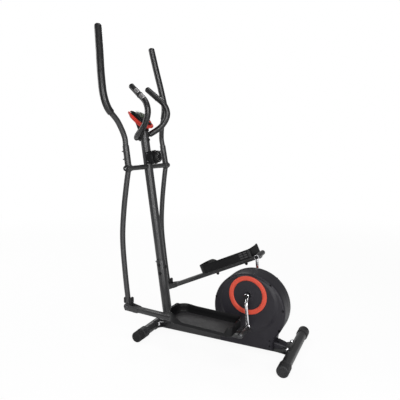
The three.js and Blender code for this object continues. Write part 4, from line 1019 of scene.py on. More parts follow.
def wedged(shape):  # thins the case towards its upper end, and bends what lies over it to the crowned top
    points = []
    for x, y, z in shape[0]:
        share = (x - consoleShape["shift"]) / consoleShape["length"] + 0.5
        if z < 0:
            scale = consoleShape["thinEnd"] + (1 - consoleShape["thinEnd"]) * eased(1 - share, 0, 0.8)
        else:
            scale = coverShape["lowEnd"] + (1 - coverShape["lowEnd"]) * eased(share, 0.05, 0.72)
            scale -= coverShape["fall"] * eased(share, 0.7, 1.0)
        crown = coverShape["crown"] * (1 - (2 * share - 1.25) ** 2) * eased(z, -0.001, 0.010)
        points.append(Vector((x, y, z * scale + consoleShape["rise"] * share + crown)))
    return points, shape[1]


def crowned(outline, height, steps=9):  # rings that close in to the middle, so that the crown bends them
    middle = Vector([sum(p[k] for p in outline) / len(outline) for k in (0, 1)])
    return [([tuple(middle.lerp(Vector(p), 1 - i / steps * 0.98)) for p in outline], height)
            for i in range(1, steps + 1)]


def refined(outline, longest=0.003):  # splits long sides, so that they can follow the bent top
    points = []
    for (a, b), (c, d) in zip(outline, outline[1:] + outline[:1]):
        count = math.ceil(math.hypot(c - a, d - b) / longest)
        points += [(a + (c - a) * i / count, b + (d - b) * i / count) for i in range(count)]
    return points


def consoleCase():  # rows of (inset, height) from the underside to the groove round the cover
    rim, depth = consoleShape["rim"], consoleShape["depth"]
    rows = [(rim + 0.006, -depth), (rim + 0.002, -depth + 0.0008), (rim, -depth + 0.003),
            (rim - 0.001, -depth * 0.62), (rim - 0.004, -depth * 0.57), (0.0045, -depth * 0.55),
            (0.0018, -depth * 0.52), (0.0004, -depth * 0.45), (0, -depth * 0.36), (0, -0.0042),
            (0.0005, -0.0022), (0.0016, -0.0007), (0.0034, 0), (0.0064, 0), (0.0071, -0.0008),
            (0.0072, -0.003)]
    return loft([(consoleOutline(inset), height) for inset, height in rows])


def consoleCover():
    top = coverShape["height"]
    rows = [(0.0064, -0.0010), (0.0062, top * 0.16), (0.0068, top * 0.40), (0.0086, top * 0.64),
            (0.0116, top * 0.82), (0.0160, top * 0.94), (0.0220, top * 0.985), (0.0300, top)]
    rows = [([(a * coverShape["length"] + coverShape["shift"], b) for a, b in consoleOutline(inset)], height)
            for inset, height in rows]
    return loft(rows + crowned(rows[-1][0], top))


def displayWindow(middle):
    top = coverShape["height"]
    outline = roundedRect(screenShape["long"], screenShape["wide"], screenShape["corner"], 8)
    taper, half = screenShape["taper"], screenShape["long"] / 2
    outer = refined([(middle + a, b * (1 - taper * (a + half))) for a, b in outline])
    inner = [(middle + (a - middle) * 0.985, b * 0.985) for a, b in outer]
    edge = [(outer, top - 0.0016), (outer, top + 0.0002), (inner, top + 0.0006)]
    return loft(edge + crowned(inner, top + 0.0006))


def digitBars(x, out, digit, height):  # a seven-bar digit, read with up along +x
    tall, wide, bar = clockShape["tall"], clockShape["wide"], clockShape["bar"]
    lit = {0: "abcdef", 1: "bc", 3: "abgcd", 5: "afgcd"}[digit]
    spots = {"a": (tall / 2, 0), "d": (-tall / 2, 0), "g": (0, 0), "b": (tall / 4, -1), "c": (-tall / 4, -1),
             "f": (tall / 4, 1), "e": (-tall / 4, 1)}
    shapes = []
    for up, side in (spots[key] for key in lit):
        long, across = (tall / 2 - bar, bar) if side else (bar, wide - bar * 0.6)
        outline = moved(roundedRect(long, across, bar * 0.45, 3), x + up, out + side * wide / 2)
        shapes.append(slab(outline, height - 0.0004, height + 0.00012))
    return shapes


def displayMarks(middle):  # the digits, the colon between them and a line above
    top, row = coverShape["height"], middle - 0.004
    marks = []
    for digit, out in clockShape["digits"]:
        marks += digitBars(row, out, digit, top + 0.0006)
    dots = [moved(circle(0.0007, 12), row + up, clockShape["colon"]) for up in (0.0035, -0.0035)]
    line = moved(roundedRect(0.0012, 0.030, 0.0005, 3), middle + 0.013, 0)
    return joined(marks + [slab(outline, top, top + 0.00085) for outline in dots + [line]])


def buildButtons(place):
    low, r = coverShape["height"], buttonShape["radius"]
    top, collar = low + buttonShape["proud"], buttonShape["collar"]
    for slot, name in ((1, "left"), (0, "middle"), (-1, "right")):
        centre = (buttonShape["row"], slot * buttonShape["pitch"], 0)
        button = lathe([(0, low - 0.004), (r, low - 0.004), (r, top - 0.0014), (0.0058, top - 0.0004),
                        (0.0046, top), (0.0034, top - 0.0001), (0, top - 0.0005)], centre, upward, 40)
        addPiece("button_" + name, placed(wedged(button), place), redCase, name + "_button", "red_plastic",
                 ["console_button_" + name])
        ring = lathe([(r + 0.0003, low * 0.7), (collar, low * 0.7), (collar, low * 0.93), (0.008, low * 0.98),
                      (r + 0.0003, low * 0.98), (r + 0.0003, low * 0.7)], centre, upward, 40)
        addPiece("button_collar_" + name, placed(wedged(ring), place), plastic, "frame", "black_plastic")


def buildConsoleBracket(place):  # the neck between the post's top and the case
    top, reach = onPost(post["top"]), neckShape["top"]
    under = [place @ Vector((x, 0, -neckShape["under"])) for x in (reach, -reach)]
    ahead, behind = ((spot.x, spot.z) for spot in under)
    front, rear = (top.x + 0.020, top.z - 0.0022), (top.x - 0.018, top.z + 0.0026)
    outline = [rear] + curveTo(front, (front[0] + 0.002, front[1] + 0.016), ahead, 9) + [ahead]
    outline += curveTo(behind, (rear[0] - 0.001, rear[1] + 0.014), rear, 9)
    half = neckShape["half"]
    neck = prism(outline, -half, half)
    addPiece("console_neck", neck, plastic, "frame", "black_plastic", ["console_bracket"], bevel=0.0035,
             segments=4)
    screws = []
    for side in (-1, 1):
        seat = (top.x + 0.002, side * (half - 0.0002), top.z + 0.016)
        screws.append(domeHead(seat, leftward * side, 0.0044, 0.0034))
    addPiece("console_screws", screws, zinc, "frame", "steel")


def buildConsole():
    place = consoleFrame()
    middle = screenShape["middle"] - 0.002
    for name, shape, material, slotName, nodes in (
            ("console_body", consoleCase(), redCase, "red_plastic", ["console_case"]),
            ("console_top", consoleCover(), glossBlack, "black_plastic", ["console_cover"]),
            ("display_window", displayWindow(middle), glass, "screen_glass", ["console_screen"]),
            ("display_digits", displayMarks(middle), inkBlack, "screen_glass", [])):
        addPiece(name, placed(wedged(shape), place), material, "frame", slotName, nodes)
    buildButtons(place)
    buildConsoleBracket(place)


# Tension housing on the rear of the post, and its dial

dialShape = {"radius": 0.033, "length": 0.020, "lobes": 18, "lobeDepth": 0.0011}
housingShape = {"up": 0.046, "half": 0.031, "side": 0.0265, "reach": 0.055, "front": 0.005, "corner": 0.010}
housingScrews = {"up": 0.02, "reach": 0.016}
dialTicks = {"count": 9, "turn": 270, "radius": 0.0255}


def buildHousing():
    side, reach, corner, up = (housingShape[key] for key in ("side", "reach", "corner", "up"))
    outline = [(-housingShape["front"], -side), (-housingShape["front"], side)]
    outline += arc((corner - reach, side - corner), corner, 90, 90, 8)
    outline += arc((corner - reach, corner - side), corner, 180, 90, 8)
    box = onPostShape(slab(outline, up - housingShape["half"], up + housingShape["half"]))
    addPiece("tension_box", box, darkPlastic, "frame", "black_plastic", ["tension_housing"], bevel=0.0032,
             segments=4)
    profile = [(0, -0.030), (0.0342, -0.030), (0.0359, -0.0284), (0.0359, -0.0022), (0.0345, -0.0004),
               (0, -0.0004)]
    drum = lathe(profile, onPost(up, -reach), rearward, 96)
    addPiece("tension_drum", drum, darkPlastic, "frame", "black_plastic")
    screws = []
    for above in (-housingScrews["up"], housingScrews["up"]):
        for hand in (-1, 1):
            seat = onPost(up + above, -housingScrews["reach"], hand * (side - 0.0004))
            screws.append(domeHead(seat, leftward * hand, 0.0038, 0.0022))
    addPiece("tension_screws", screws, darkSteel, "frame", "steel")


def buildDial():
    r, length = dialShape["radius"], dialShape["length"]
    face = onPost(housingShape["up"], -housingShape["reach"] - 0.0006)
    lobes = (dialShape["lobes"], dialShape["lobeDepth"])
    profile = [(0, 0), (r - 0.003, 0), (r - 0.001, 0.0012, lobes), (r - 0.0006, 0.004, lobes),
               (r - 0.0012, length - 0.006, lobes), (r - 0.0024, length - 0.0035, lobes),
               (r - 0.0052, length - 0.0008), (r * 0.79, length), (r * 0.66, length),
               (r * 0.62, length - 0.0012), (r * 0.58, length - 0.0034), (r * 0.54, length - 0.0040),
               (r * 0.24, length - 0.0040), (r * 0.21, length - 0.0030), (0, length - 0.0026)]
    knob = lathe(profile, face, rearward, 108)
    addPiece("dial_knob", knob, darkPlastic, "dial", "black_plastic", ["tension_dial"])
    low, high, inner, outer = length - 0.0002, length + 0.0001, r * 0.70, r * 0.735
    band = lathe([(outer, low), (outer, high), (inner, high), (inner, low), (outer, low)], face, rearward, 72)
    block = slab(moved(roundedRect(0.0024, 0.0088, 0.0011, 5), 0, 0.0125), 0, 0.0006)
    pointer = aimed(block, face + rearward * (length - 0.0040), leftward, postUp, rearward)
    addPiece("dial_marks", [band, pointer], markGrey, "dial", "steel")


def buildTicks():
    mark = slab(roundedRect(0.0012, 0.0030, 0.0004, 3), -0.0006, 0.0004)
    centre = onPost(housingShape["up"], -housingShape["reach"])
    ticks, radius, last = [], dialTicks["radius"], dialTicks["count"] - 1
    for k in range(last + 1):
        angle = math.radians(dialTicks["turn"] * (k / last - 0.5))
        direction = postUp * math.cos(angle) + leftward * math.sin(angle)
        if abs(direction.y) * radius < housingShape["side"] - 0.004:
            across = direction.cross(rearward)
            ticks.append(aimed(mark, centre + direction * radius, across, direction, rearward))
    addPiece("tension_marks", ticks, markGrey, "frame", "black_plastic")


buildPost()
buildLevers()
buildHandles()
print("post, levers and handles made")
buildHandlebar()
buildClamp()
buildConsole()
buildHousing()
buildDial()
buildTicks()
print("handlebar, console and dial made")

# Cranks, the axle and its caps; distances along Y from the middle plane, Z up from the crank axis

crankShape = {"width": 0.0155, "thick": 0.0108, "square": 0.7, "eye": 0.0118, "reach": 0.143, "plane": 0.100,
              "path": [(0, 0.080, 0), (0, 0.082, -0.012), (0, 0.098, -0.034), (0, 0.100, -0.052),
                       (0, 0.100, -0.090), (0, 0.100, -0.143)]}
crankHub = {"radius": 0.0118, "bore": 0.0086, "inner": 0.0745, "thick": 0.016}
spindle = {"radius": 0.008, "half": 0.0905}


def buildCranks():
    thick, wide, square = crankShape["thick"], crankShape["width"], crankShape["square"]
    section = [(signedPower(a, square) * thick / 2, signedPower(b, square) * wide / 2)
               for a, b in circle(1, 32)]
    bar = sweep(smoothPath(crankShape["path"], 90), section)
    inner, outer = crankHub["inner"], crankHub["inner"] + crankHub["thick"]
    hub = turnedRing(crankHub["bore"], crankHub["radius"], inner, outer, 0.0015, 0.0022)
    near, far = crankShape["plane"] - thick / 2, crankShape["plane"] + thick / 2
    tip = (0, 0, -crankShape["reach"])
    eye = turnedRing(0, crankShape["eye"], near, far, 0.0014)[:-1]
    shapes = [bar, lathe(hub, (0, 0, 0), count=64), lathe(eye, tip, count=56)]
    bothHands("crank_arm", shapes, chrome, "crankset", "chrome", ["crank_*"], crankFrame)
    profile = [(0, near + 0.0004), (0.0094, near + 0.0004), (0.0094, near - 0.0008), (0.0084, near - 0.0018),
               (0, near - 0.0022)]
    plug = lathe(profile, tip, count=40)
    bothHands("crank_plug", [plug], plastic, "crankset", "black_plastic", [], crankFrame)
    r, half = spindle["radius"], spindle["half"]
    axle = lathe([(0, -half), (r, -half), (r, half), (0, half)], crankAxis, count=40)
    addPiece("crank_spindle", axle, zinc, "crankset", "steel", ["crank_axle"])
    end = reachOf("crank_axle")[1]
    profile = [(0, outer + 0.0003), (0.0100, outer + 0.0003), (0.0100, outer + 0.0032),
               (0.0097, outer + 0.0052), (0.0086, end - 0.0010), (0.0070, end), (0.0052, end),
               (0.0044, end - 0.0012), (0, end - 0.0014)]
    cap = lathe(profile, crankAxis)
    for hand, side in hands.items():
        addPiece("axle_cap_" + hand, mirrored(cap, side), plastic, "crankset", "black_plastic")


# Pedal arms: rearward is -X from the foot pin, Z up from it, Y out from the lever's plane

armShape = {"length": 0.621, "width": 0.036, "height": 0.0245, "drop": 0.00775, "corner": 0.007,
            "start": 0.035}
armCheek = {"wall": 0.0036, "radius": 0.019, "reach": 0.066, "proud": 0.0009}
armSleeve = {"radius": 0.013, "bore": 0.0066, "inner": -0.069, "outer": 0.025}
armWelds = {"start": 0.037, "length": 0.027, "side": 0.0013, "ring": 0.0018, "steps": 64}
armKnobs = {"places": (0.337, 0.519), "radius": 0.0084, "height": 0.0135}
armMiddle = -armShape["drop"]
armBottom = armMiddle - armShape["height"] / 2
armTop = armBottom + armShape["height"]


def armCheeks():  # the plates that close the tube round the foot pin
    r, reach, half = armCheek["radius"], armCheek["reach"], armShape["width"] / 2
    outline = [(-reach, armBottom), (r * 0.6, armBottom), (r, -0.004)] + arc((0, 0), r, 0, 135, 16)
    outline.append((-reach, armTop))
    inner, outer = half - armCheek["wall"], half + armCheek["proud"]
    return [prism(outline, side * inner, side * outer) for side in (-1, 1)]


def armSideWelds():
    half, beads = armShape["width"] / 2, []
    for side in (-1, 1):
        for edge in (armBottom + 0.0005, armTop - 0.0005):
            line = [Vector((-armWelds["start"] - armWelds["length"] * i / 24, side * (half + 0.0006), edge))
                    for i in range(25)]
            beads.append(sweep(line, circle(armWelds["side"], 8)))
    return beads


def buildArms():
    section = roundedRect(armShape["width"], armShape["height"], armShape["corner"], 8)
    r, length = armSleeve["radius"], armShape["length"]
    tube = sweep([Vector((x, 0, armMiddle)) for x in (-armShape["start"], -0.3, r / 2 - length)], section)
    ring = turnedRing(armSleeve["bore"], r, armSleeve["inner"], armSleeve["outer"], 0.001)
    shapes = [tube] + armCheeks() + [lathe(ring, (-length, 0, 0))]
    bothHands("pedal_beam", shapes, paint, "*_pedal", "tube_paint", ["pedal_arm_*"], armFrame, bevel=0.0009,
              segments=2)
    steps = armWelds["steps"]
    spots = [section[i * len(section) // steps] for i in range(steps)]
    bead = weldRing([Vector((r * 0.86 - length, a, armMiddle + b)) for a, b in spots], armWelds["ring"])
    bothHands("arm_welds", [bead] + armSideWelds(), paint, "*_pedal", "tube_paint", [], armFrame)
    knobs = [domeHead((-place, 0, armBottom + 0.0006), -upward, armKnobs["radius"], armKnobs["height"])
             for place in armKnobs["places"]]
    bothHands("pedal_knobs", knobs, screwBlack, "*_pedal", "steel", [], armFrame)


pinShape = {"footShaft": 0.005, "footHead": 0.009, "rearShaft": 0.006, "headThick": 0.006}


def footPin(inner, outer):  # a head at each end, in the lever's ears
    shaft, head, thick = pinShape["footShaft"], pinShape["footHead"], pinShape["headThick"]
    return [(0, inner), (0.0066, inner), (0.0082, inner + 0.001), (head, inner + 0.003),
            (head, inner + thick), (shaft, inner + thick), (shaft, outer - thick), (head, outer - thick),
            (head, outer - 0.0032), (0.0082, outer - 0.0012), (0.0066, outer - 0.0002), (0.0046, outer),
            (0.0038, outer - 0.0014), (0, outer - 0.0016)]


def rearPin(inner, outer, head):  # one head, outside the arm
    shaft, thick = pinShape["rearShaft"], pinShape["headThick"]
    return [(0, inner), (shaft, inner), (shaft, outer - thick), (head, outer - thick), (head, outer - 0.0032),
            (head - 0.0012, outer - 0.0014), (head - 0.004, outer), (0.0048, outer), (0.004, outer - 0.0018),
            (0, outer - 0.002)]


def buildPins():
    for hand, side in hands.items():
        foot, rear = "lever_pin_" + hand, "crank_pin_" + hand
        pins = (("foot_pin_", foot, jointAt(hand + "_pedal_pivot"), footPin(*reachOf(foot))),
                ("rear_pin_", rear, middleOf(rear), rearPin(*reachOf(rear), radiusOf(rear))))
        for name, node, axis, profile in pins:
            pin = lathe(profile, inMiddlePlane(axis))
            addPiece(name + hand, mirrored(pin, side), darkSteel, hand + "_pedal", "steel", [node])


# Pedals: open trays with a high inner wall, a round toe wall and a low outer lip; Y out from the arm

trayShape = {"front": -0.262, "back": -0.595, "inner": -0.068, "outer": 0.078, "base": 0.0043,
             "floor": 0.008, "wall": 0.004, "lip": 0.017, "side": 0.047, "toe": 0.0505, "toeRadius": 0.055,
             "heelRadius": 0.020}
trayRibs = {"count": 13, "margin": 0.014, "toeGap": 0.008, "heelGap": 0.006}
# The lighter pads near the heel are painted highlight: they stand in for the rear light on the heel wall
heelHighlightPads = {"places": (-0.562, -0.537), "heights": (0.012, 0.024, 0.036), "length": 0.020, "height": 0.0075}
trayTop = trayShape["base"] + trayShape["floor"]


def trayOutline(inset, steps=22):
    toe, heel = (max(trayShape[key] - inset, 0.002) for key in ("toeRadius", "heelRadius"))
    front, back = trayShape["front"] - inset, trayShape["back"] + inset
    inner, outer = trayShape["inner"] + inset, trayShape["outer"] - inset
    corners = ((front - toe, outer - toe, toe), (back + heel, outer - heel, heel),
               (back + heel, inner + heel, heel), (front - toe, inner + toe, toe))
    turns = [arc((x, y), radius, 90 * k, 90, steps) for k, (x, y, radius) in enumerate(corners)]
    outline = []
    for k, turn in enumerate(turns):
        (ax, ay), (bx, by) = turn[-1], turns[(k + 1) % len(turns)][0]
        run = 40 if k in (0, 2) else 8  # the long sides follow the wall's changing height
        outline += turn + [(ax + (bx - ax) * i / run, ay + (by - ay) * i / run) for i in range(1, run)]
    return outline


def wallTop(x, y):  # the wall falls from the toe to the inner side, and to the lip along the outer side
    front, back, lip, side, toe = (trayShape[key] for key in ("front", "back", "lip", "side", "toe"))
    high = toe + (side - toe) * eased(front - x, 0.040, 0.100)
    low = high + (lip - high) * eased(front - x, 0.030, 0.092)
    low += (side - low) * eased(back + 0.034 - x, 0.0, 0.020)
    return high + (low - high) * eased(y, trayShape["inner"] + 0.050, trayShape["inner"] + 0.062)


def trayBody():
    floor, wall = trayShape["floor"], trayShape["wall"]
    tops = [wallTop(x, y) for x, y in trayOutline(0)]
    # each row has its inset, its share of the wall's height and what is added to that
    levels = [(0.006, 0, 0), (0.002, 0, 0.0006), (0, 0, 0.003), (0, 0.3, 0.002), (0, 0.65, 0),
              (0, 1, -0.0016), (0.0006, 1, -0.0004), (0.002, 1, 0), (0.0034, 1, -0.0004), (wall, 1, -0.0016),
              (wall, 0.5, floor / 2 - 0.0002), (wall, 0, floor + 0.0046), (wall + 0.0013, 0, floor + 0.0014),
              (wall + 0.005, 0, floor)]
    rows = [[Vector((x, y, trayShape["base"] + share * top + rise))
             for (x, y), top in zip(trayOutline(inset), tops)] for inset, share, rise in levels]
    return skinOver(rows)


def floorRibs():
    edge = trayOutline(trayShape["wall"] + 0.0062)
    first, last = trayShape["inner"] + trayRibs["margin"], trayShape["outer"] - trayRibs["margin"]
    ribs = []
    for k in range(trayRibs["count"]):
        y = first + (last - first) * k / (trayRibs["count"] - 1)
        crossings = [a + (c - a) * (y - b) / (d - b) for (a, b), (c, d) in zip(edge, edge[1:] + edge[:1])
                     if (b < y) != (d < y)]
        low, high = min(crossings) + trayRibs["heelGap"], max(crossings) - trayRibs["toeGap"]
        rows = []
        for half, up in ((0.0021, -0.0004), (0.0021, 0.0004), (0.0015, 0.0009), (0.0008, 0.0011)):
            outline = roundedRect(high - low - 0.002 + half, half * 2, half * 0.98, 5)
            rows.append((moved(outline, (low + high) / 2, y), trayTop + up))
        ribs.append(loft(rows))
    return ribs


def buildPedals():
    bothHands("foot_tray", [trayBody()], darkPlastic, "*_pedal", "black_plastic", ["pedal_*"], armFrame)
    bothHands("tray_ribs", floorRibs(), trayRibGreyAndHeelHighlight, "*_pedal", "black_plastic", [], armFrame)
    # Lighter grey pads on the inner wall by the heel: painted highlight of the rear light there
    highlightPad, inner = roundedRect(heelHighlightPads["length"], heelHighlightPads["height"], 0.002, 4), trayShape["inner"]
    highlightPads = [prism(moved(highlightPad, x, trayShape["base"] + up), inner + 0.0008, inner - 0.0009)
            for x in heelHighlightPads["places"] for up in heelHighlightPads["heights"]]
    bothHands("tray_heel_highlight_pads", highlightPads, trayRibGreyAndHeelHighlight, "*_pedal", "black_plastic", [], armFrame)
    mat = slab(trayOutline(trayShape["wall"] + 0.0052), trayTop - 0.0004, trayTop + 0.00025)
    bothHands("tray_floor", [mat], trayFloor, "*_pedal", "black_plastic", [], armFrame)


# Shells over the drive, and the round bands on them; forward from the crank axis, out, and up from the floor

shellShape = {"radius": 0.178, "height": 0.2095, "half": 0.060, "fillet": 0.012, "bottom": 0.022,
              "front": 0.150, "rear": -0.122, "corner": 33, "hole": 0.015}
plateau = {"height": 0.246, "radius": 0.132, "slope": 0.014, "raised": 0.010}
bandShape = {"outer": 0.0938, "inner": 0.0712, "height": 0.005}
rimScrews = {"out": 0.0582, "radius": 0.0056, "dish": (0.0046, 0.0026, 0.0018),
             "places": ((54.4, 0.1705), (14, 0.1705), (172.9, 0.1685), (128, 0.1705), (207, 0.1700))}
lowScrews = {"out": 0.0590, "radius": 0.0042, "dish": (0.0034, 0.0018, 0.0012),
             "places": ((-0.108, 0.074), (0.132, 0.072), (-0.1085, 0.048))}
shellLift = shellShape["half"] + plateau["raised"]


def shellOutline(inset):
    r, height = shellShape["radius"] - inset, shellShape["height"]
    front, rear = shellShape["front"] - inset, shellShape["rear"] + inset
    bottom, corner = shellShape["bottom"] + inset, shellShape["corner"]
    tall = height - r * math.sin(math.radians(corner)) - bottom
    outline = [(front, bottom + tall * i / 12) for i in range(12)]
    outline += arc((0, height), r, -corner, 180 + 2 * corner, 139)
    outline += curveTo(outline[-1], (rear - 0.004, beamTop + 0.036), (rear, beamTop), 24)[1:]
    outline += [(rear, beamTop), (rear, bottom)]
    return outline + [(rear + (front - rear) * i / 16, bottom) for i in range(1, 16)]


def rayLength(outline, origin, angle):  # how far the outline is from the origin at this angle
    dx, dy = math.cos(angle), math.sin(angle)
    best = 0
    for (ax, ay), (bx, by) in zip(outline, outline[1:] + outline[:1]):
        ex, ey = bx - ax, by - ay
        across = dx * ey - dy * ex
        if abs(across) < 1e-12:
            continue
        ox, oy = ax - origin[0], ay - origin[1]
        t, s = (ox * ey - oy * ex) / across, (ox * dy - oy * dx) / across
        if t > 0 and -1e-6 <= s <= 1 + 1e-6:
            best = max(best, t)
    return best


def plateauRows(flat, limit, out):  # the step up to the plateau, which fades out where the rim is near
    half = shellShape["half"]
    foot = plateau["radius"] + plateau["slope"]
    start, top = min(foot, limit - 0.0006), min(plateau["radius"], limit - 0.0016)
    rise = max(half + 0.0004, half + plateau["raised"] * min(1, (foot - start) / plateau["slope"]))
    level = half if flat > start else out + 0.0003
    return [(max(flat, start), level), (start + 0.0001 if flat < start else start + 0.002, level),
            (start - 0.0002, rise), (start + (top - start) * 0.5, (rise + shellLift) / 2),
            (top + 0.0009, shellLift - 0.0008), (top - 0.0006, shellLift - 0.0001), (top - 0.0030, shellLift)]


def shellSkin():  # one column of points for each angle round the plateau's centre
    half, fillet, hole = shellShape["half"], shellShape["fillet"], shellShape["hole"]
    centre = (0, plateau["height"])
    insets = [(0.0010, 0.0002), (0, 0.0012), (0, 0.016), (0, 0.032), (0, half - fillet)]
    for turn in (math.pi / 2 * i / 10.2 for i in range(1, 8)):
        insets.append((fillet * (1 - math.cos(turn)), half - fillet * (1 - math.sin(turn))))
    outlines = [(shellOutline(inset), out) for inset, out in insets]
    flat, limit = shellOutline(fillet), shellOutline(fillet * 0.62)
    corners = (shellOutline(0)[0], (shellShape["rear"], shellShape["bottom"]), (shellShape["rear"], beamTop))
    angles = [2 * math.pi * i / 200 for i in range(200)]
    angles += [math.atan2(z - centre[1], x - centre[0]) % (2 * math.pi) for x, z in corners]
    points = []
    for angle in sorted(angles):
        dx, dz = math.cos(angle), math.sin(angle)
        column = [(rayLength(outline, centre, angle), out) for outline, out in outlines]
        column += plateauRows(rayLength(flat, centre, angle), rayLength(limit, centre, angle), column[-1][1])
        places = [(dx * reach, out, centre[1] + dz * reach) for reach, out in column]
        x, _, z = places[-1]
        hx, hz = hole * dx, crankAxis.z + hole * dz
        places += [(x + (hx - x) * share, shellLift, z + (hz - z) * share) for share in (0.3, 0.6, 0.85, 1)]
        places.append((places[-1][0], shellLift - 0.006, places[-1][2]))
        points += [Vector((crankAxis.x + x, out, z)) for x, out, z in places]
    rows, faces = len(points) // len(angles), []
    for a in range(0, len(points), rows):
        b = (a + rows) % len(points)
        faces += [(a + i, b + i, b + i + 1, a + i + 1) for i in range(rows - 1)]
    return points, faces


def bandProfile():
    low, top = shellLift - 0.001, shellLift + bandShape["height"]
    inner, outer = bandShape["inner"], bandShape["outer"]
    return [(inner + 0.001, low), (outer, low), (outer, top - 0.0034), (outer - 0.0005, top - 0.0018),
            (outer - 0.0016, top - 0.0006), (outer - 0.0040, top), (inner + 0.0052, top),
            (inner + 0.0034, top - 0.0005), (inner + 0.0016, top - 0.0020), (inner, top - 0.0042),
            (inner, low), (inner + 0.001, low)]


def shellScrews():
    rim = []
    for degrees, reach in rimScrews["places"]:
        angle = math.radians(degrees)
        rim.append((reach * math.cos(angle), shellShape["height"] + reach * math.sin(angle)))
    heads = []
    for kind, spots in ((rimScrews, rim), (lowScrews, lowScrews["places"])):
        heads += [screwHead((crankAxis.x + x, kind["out"], z), leftward, kind["radius"], 0.0012, kind["dish"])
                  for x, z in spots]
    return joined(heads)


def buildShells():
    skin, heads = shellSkin(), shellScrews()
    band = lathe(bandProfile(), crankAxis, count=120)
    for hand, side in hands.items():
        for name, shape, material, slotName, nodes in (
                ("drive_shell_", skin, shellSkinPlastic, "shell_plastic", ["shell_" + hand]),
                ("drive_band_", band, ringRed, "red_plastic", ["ring_" + hand]),
                ("shell_screws_", heads, screwBlack, "steel", [])):
            addPiece(name + hand, mirrored(shape, side), material, "frame", slotName, nodes)


tailCover = {"start": 0.116, "length": 0.062, "half": 0.0285, "top": 0.060, "bottom": 0.0215,
             "corner": 0.0125}


def buildTail():  # the rounded cover behind the shells, over the end of the beam
    rows, steps, bottom = [], 16, tailCover["bottom"]
    for i in range(steps + 1):
        t = i / steps
        closing = math.sqrt(max(0, 1 - max(0, (t - 0.80) / 0.2) ** 2))
        half = tailCover["half"] * (1 - 0.16 * t ** 2) * (0.86 + 0.14 * closing)
        tall = tailCover["top"] - 0.0125 * t ** 1.7 - 0.0035 * (1 - closing) - bottom
        outline = roundedRect(2 * half, tall, min(tailCover["corner"], tall * 0.45), 8)
        x = crankAxis.x - tailCover["start"] - tailCover["length"] * t
        rows.append([Vector((x, a, bottom + tall / 2 + b)) for a, b in outline])
    addPiece("shell_tail", skinOver(rows), shellSkinPlastic, "frame", "shell_plastic", bevel=0.0012)
    seat = Vector((crankAxis.x - tailCover["start"] - 0.022, 0, tailCover["top"] - 0.0034))
    screws = [screwHead(seat + leftward * out, (-0.12, 0, 1), 0.0044, 0.0014, (0.0036, 0.0018, 0.0012))
              for out in (-0.016, 0.016)]
    addPiece("tail_screws", screws, screwBlack, "frame", "steel")


flywheelStay = {"reach": 0.045, "bottom": 0.043, "thick": 0.004, "left": 0.044, "right": -0.056}


def buildDriveSupports():  # the brackets that carry the flywheel inside the shells
    middle = middleOf("flywheel_axle")
    x, z = middle.x, middle.z
    reach, bottom, thick = (flywheelStay[key] for key in ("reach", "bottom", "thick"))
    left, right = flywheelStay["left"], flywheelStay["right"]
    outline = [(x - reach, bottom), (x + reach, bottom), (x + 0.016, z + 0.004), (x + 0.009, z + 0.013),
               (x, z + 0.016), (x - 0.009, z + 0.013), (x - 0.016, z + 0.004)]
    plates = [prism(outline, left - thick, left), prism(outline, right, right + thick)]
    base = [(x - reach, bottom), (x + reach, bottom), (x + reach, bottom + thick),
            (x - reach, bottom + thick)]
    plates.append(prism(base, right, left))
    addPiece("flywheel_brackets", plates, paint, "frame", "tube_paint", bevel=0.0008, segments=1)


cadFinishes = {"flywheel": iron, "flywheel_axle": zinc, "drive_pulley": plastic, "belt": rubber,
               "crank_bearing": zinc, "magnet_bracket": iron}  # these stay as the CAD has them

buildCranks()
buildArms()
buildPins()
buildPedals()
buildShells()
buildTail()
buildDriveSupports()
for node, material in cadFinishes.items():
    slots = frame["nodes"][node].data.materials
    slots.clear()
    slots.append(material)
print("drive, arms, pedals and shells made")

# Floor, daylight and camera

studio = {"floorGlow": 0.92, "fadeFrom": 1.2, "fadeTo": 4.5, "sky": 0.18, "inGloss": 0.10, "lamps": [
    # name, place, aimed at, width, height, power
    ("overhead", (-0.6, 0.3, 3.4), (0, 0, 0.5), 1.2, 1.2, 17),
    ("leftPanel", (-0.5, 3.2, 1.5), (0, 0, 0.8), 0.4, 2.6, 30),
    ("rearPanel", (-2.5, 1.95, 1.5), (0, 0, 0.7), 0.6, 2.6, 62),
    ("frontPanel", (2.9, 0.4, 1.8), (0.1, 0, 0.8), 0.8, 2.0, 24),
    ("stripPanel", (-1.0, 2.7, 1.35), (0, 0, 0.8), 0.14, 2.4, 25),
    ("farPanel", (1.7, -2.3, 2.9), (0, 0, 0.6), 1.4, 1.6, 46)]}
cameraPlace = {"fromLever": (-1.2042, 1.869, 0.987), "ahead": (0.4302, -0.8934, -0.1293), "lens": 37.23}


def onlySeen(finish):  # 1 for what the camera or glass sees, less for what gloss sees, 0 for other light
    camera, glossy, clear = (finish.make("ShaderNodeLightPath", output=name)
                             for name in ("Is Camera Ray", "Is Glossy Ray", "Is Transmission Ray"))
    seen = camera + clear + studio["inGloss"] * glossy
    return finish.make("ShaderNodeMath", {"operation": "MINIMUM"}, {0: seen, 1: 1.0})


def buildDaylight():
    world = bpy.data.worlds.new("daylight")
    bpy.context.scene.world = world
    w = Finish("daylight", world)
    sky, white = (w.make("ShaderNodeBackground", None, {"Color": rgb(1, 1, 1), "Strength": strength})
                  for strength in (studio["sky"], 1.0))
    w.finish(w.make("ShaderNodeMixShader", None, {0: onlySeen(w), 1: sky, 2: white}))


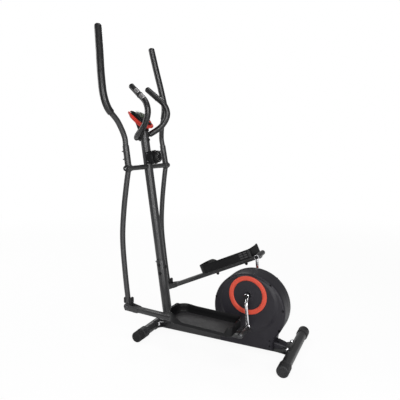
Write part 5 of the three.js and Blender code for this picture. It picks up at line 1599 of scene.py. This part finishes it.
def paleFloor():  # fades to the white of the background
    f = Finish("paleFloor")
    paper = f.mixed(f.noise(60, 3), rgb(0.90, 0.90, 0.90), rgb(0.93, 0.93, 0.93))
    matte = f.make("ShaderNodeBsdfPrincipled", None,
                   {"Base Color": paper, "Roughness": 0.9, "Specular IOR Level": 0.0})
    white = f.make("ShaderNodeEmission", None, {"Color": rgb(1, 1, 1), "Strength": 1.0})
    away = f.make("ShaderNodeVectorMath", {"operation": "LENGTH"}, {0: f.places()}, output="Value")
    clear = f.make("ShaderNodeMapRange", {"interpolation_type": "SMOOTHSTEP"},
                   {"Value": away, "From Min": studio["fadeFrom"], "From Max": studio["fadeTo"],
                    "To Min": studio["floorGlow"], "To Max": 1.0})
    return f.finish(f.make("ShaderNodeMixShader", None, {0: onlySeen(f) * clear, 1: matte, 2: white}))


def buildStudio():
    buildDaylight()
    bpy.ops.mesh.primitive_plane_add(size=60, location=(0, 0, -0.0005))
    floor = bpy.context.active_object
    floor.name = "floor"
    floor.data.materials.append(paleFloor())
    for name, place, goal, width, height, power in studio["lamps"]:
        light = bpy.data.lights.new(name, "AREA")
        light.shape = "RECTANGLE"
        light.size, light.size_y = width, height
        light.energy = power
        lamp = bpy.data.objects.new(name, light)
        lamp.location = place
        lamp.rotation_euler = (Vector(goal) - Vector(place)).to_track_quat("-Z", "Y").to_euler()
        bpy.context.scene.collection.objects.link(lamp)


def buildCamera():
    data = bpy.data.cameras.new("view")
    data.lens, data.sensor_width = cameraPlace["lens"], 36
    camera = bpy.data.objects.new("view", data)
    back, away, up = cameraPlace["fromLever"]
    ahead = Vector(cameraPlace["ahead"]).normalized()
    right = ahead.cross(upward).normalized()
    axes = Matrix((right, right.cross(ahead), -ahead)).transposed().to_4x4()
    camera.matrix_world = Matrix.Translation((crossbarMiddle.x + back, away, up)) @ axes
    bpy.context.scene.collection.objects.link(camera)
    bpy.context.scene.camera = camera


buildStudio()
buildCamera()
bpy.context.scene.view_settings.view_transform = "Standard"
print("studio made")
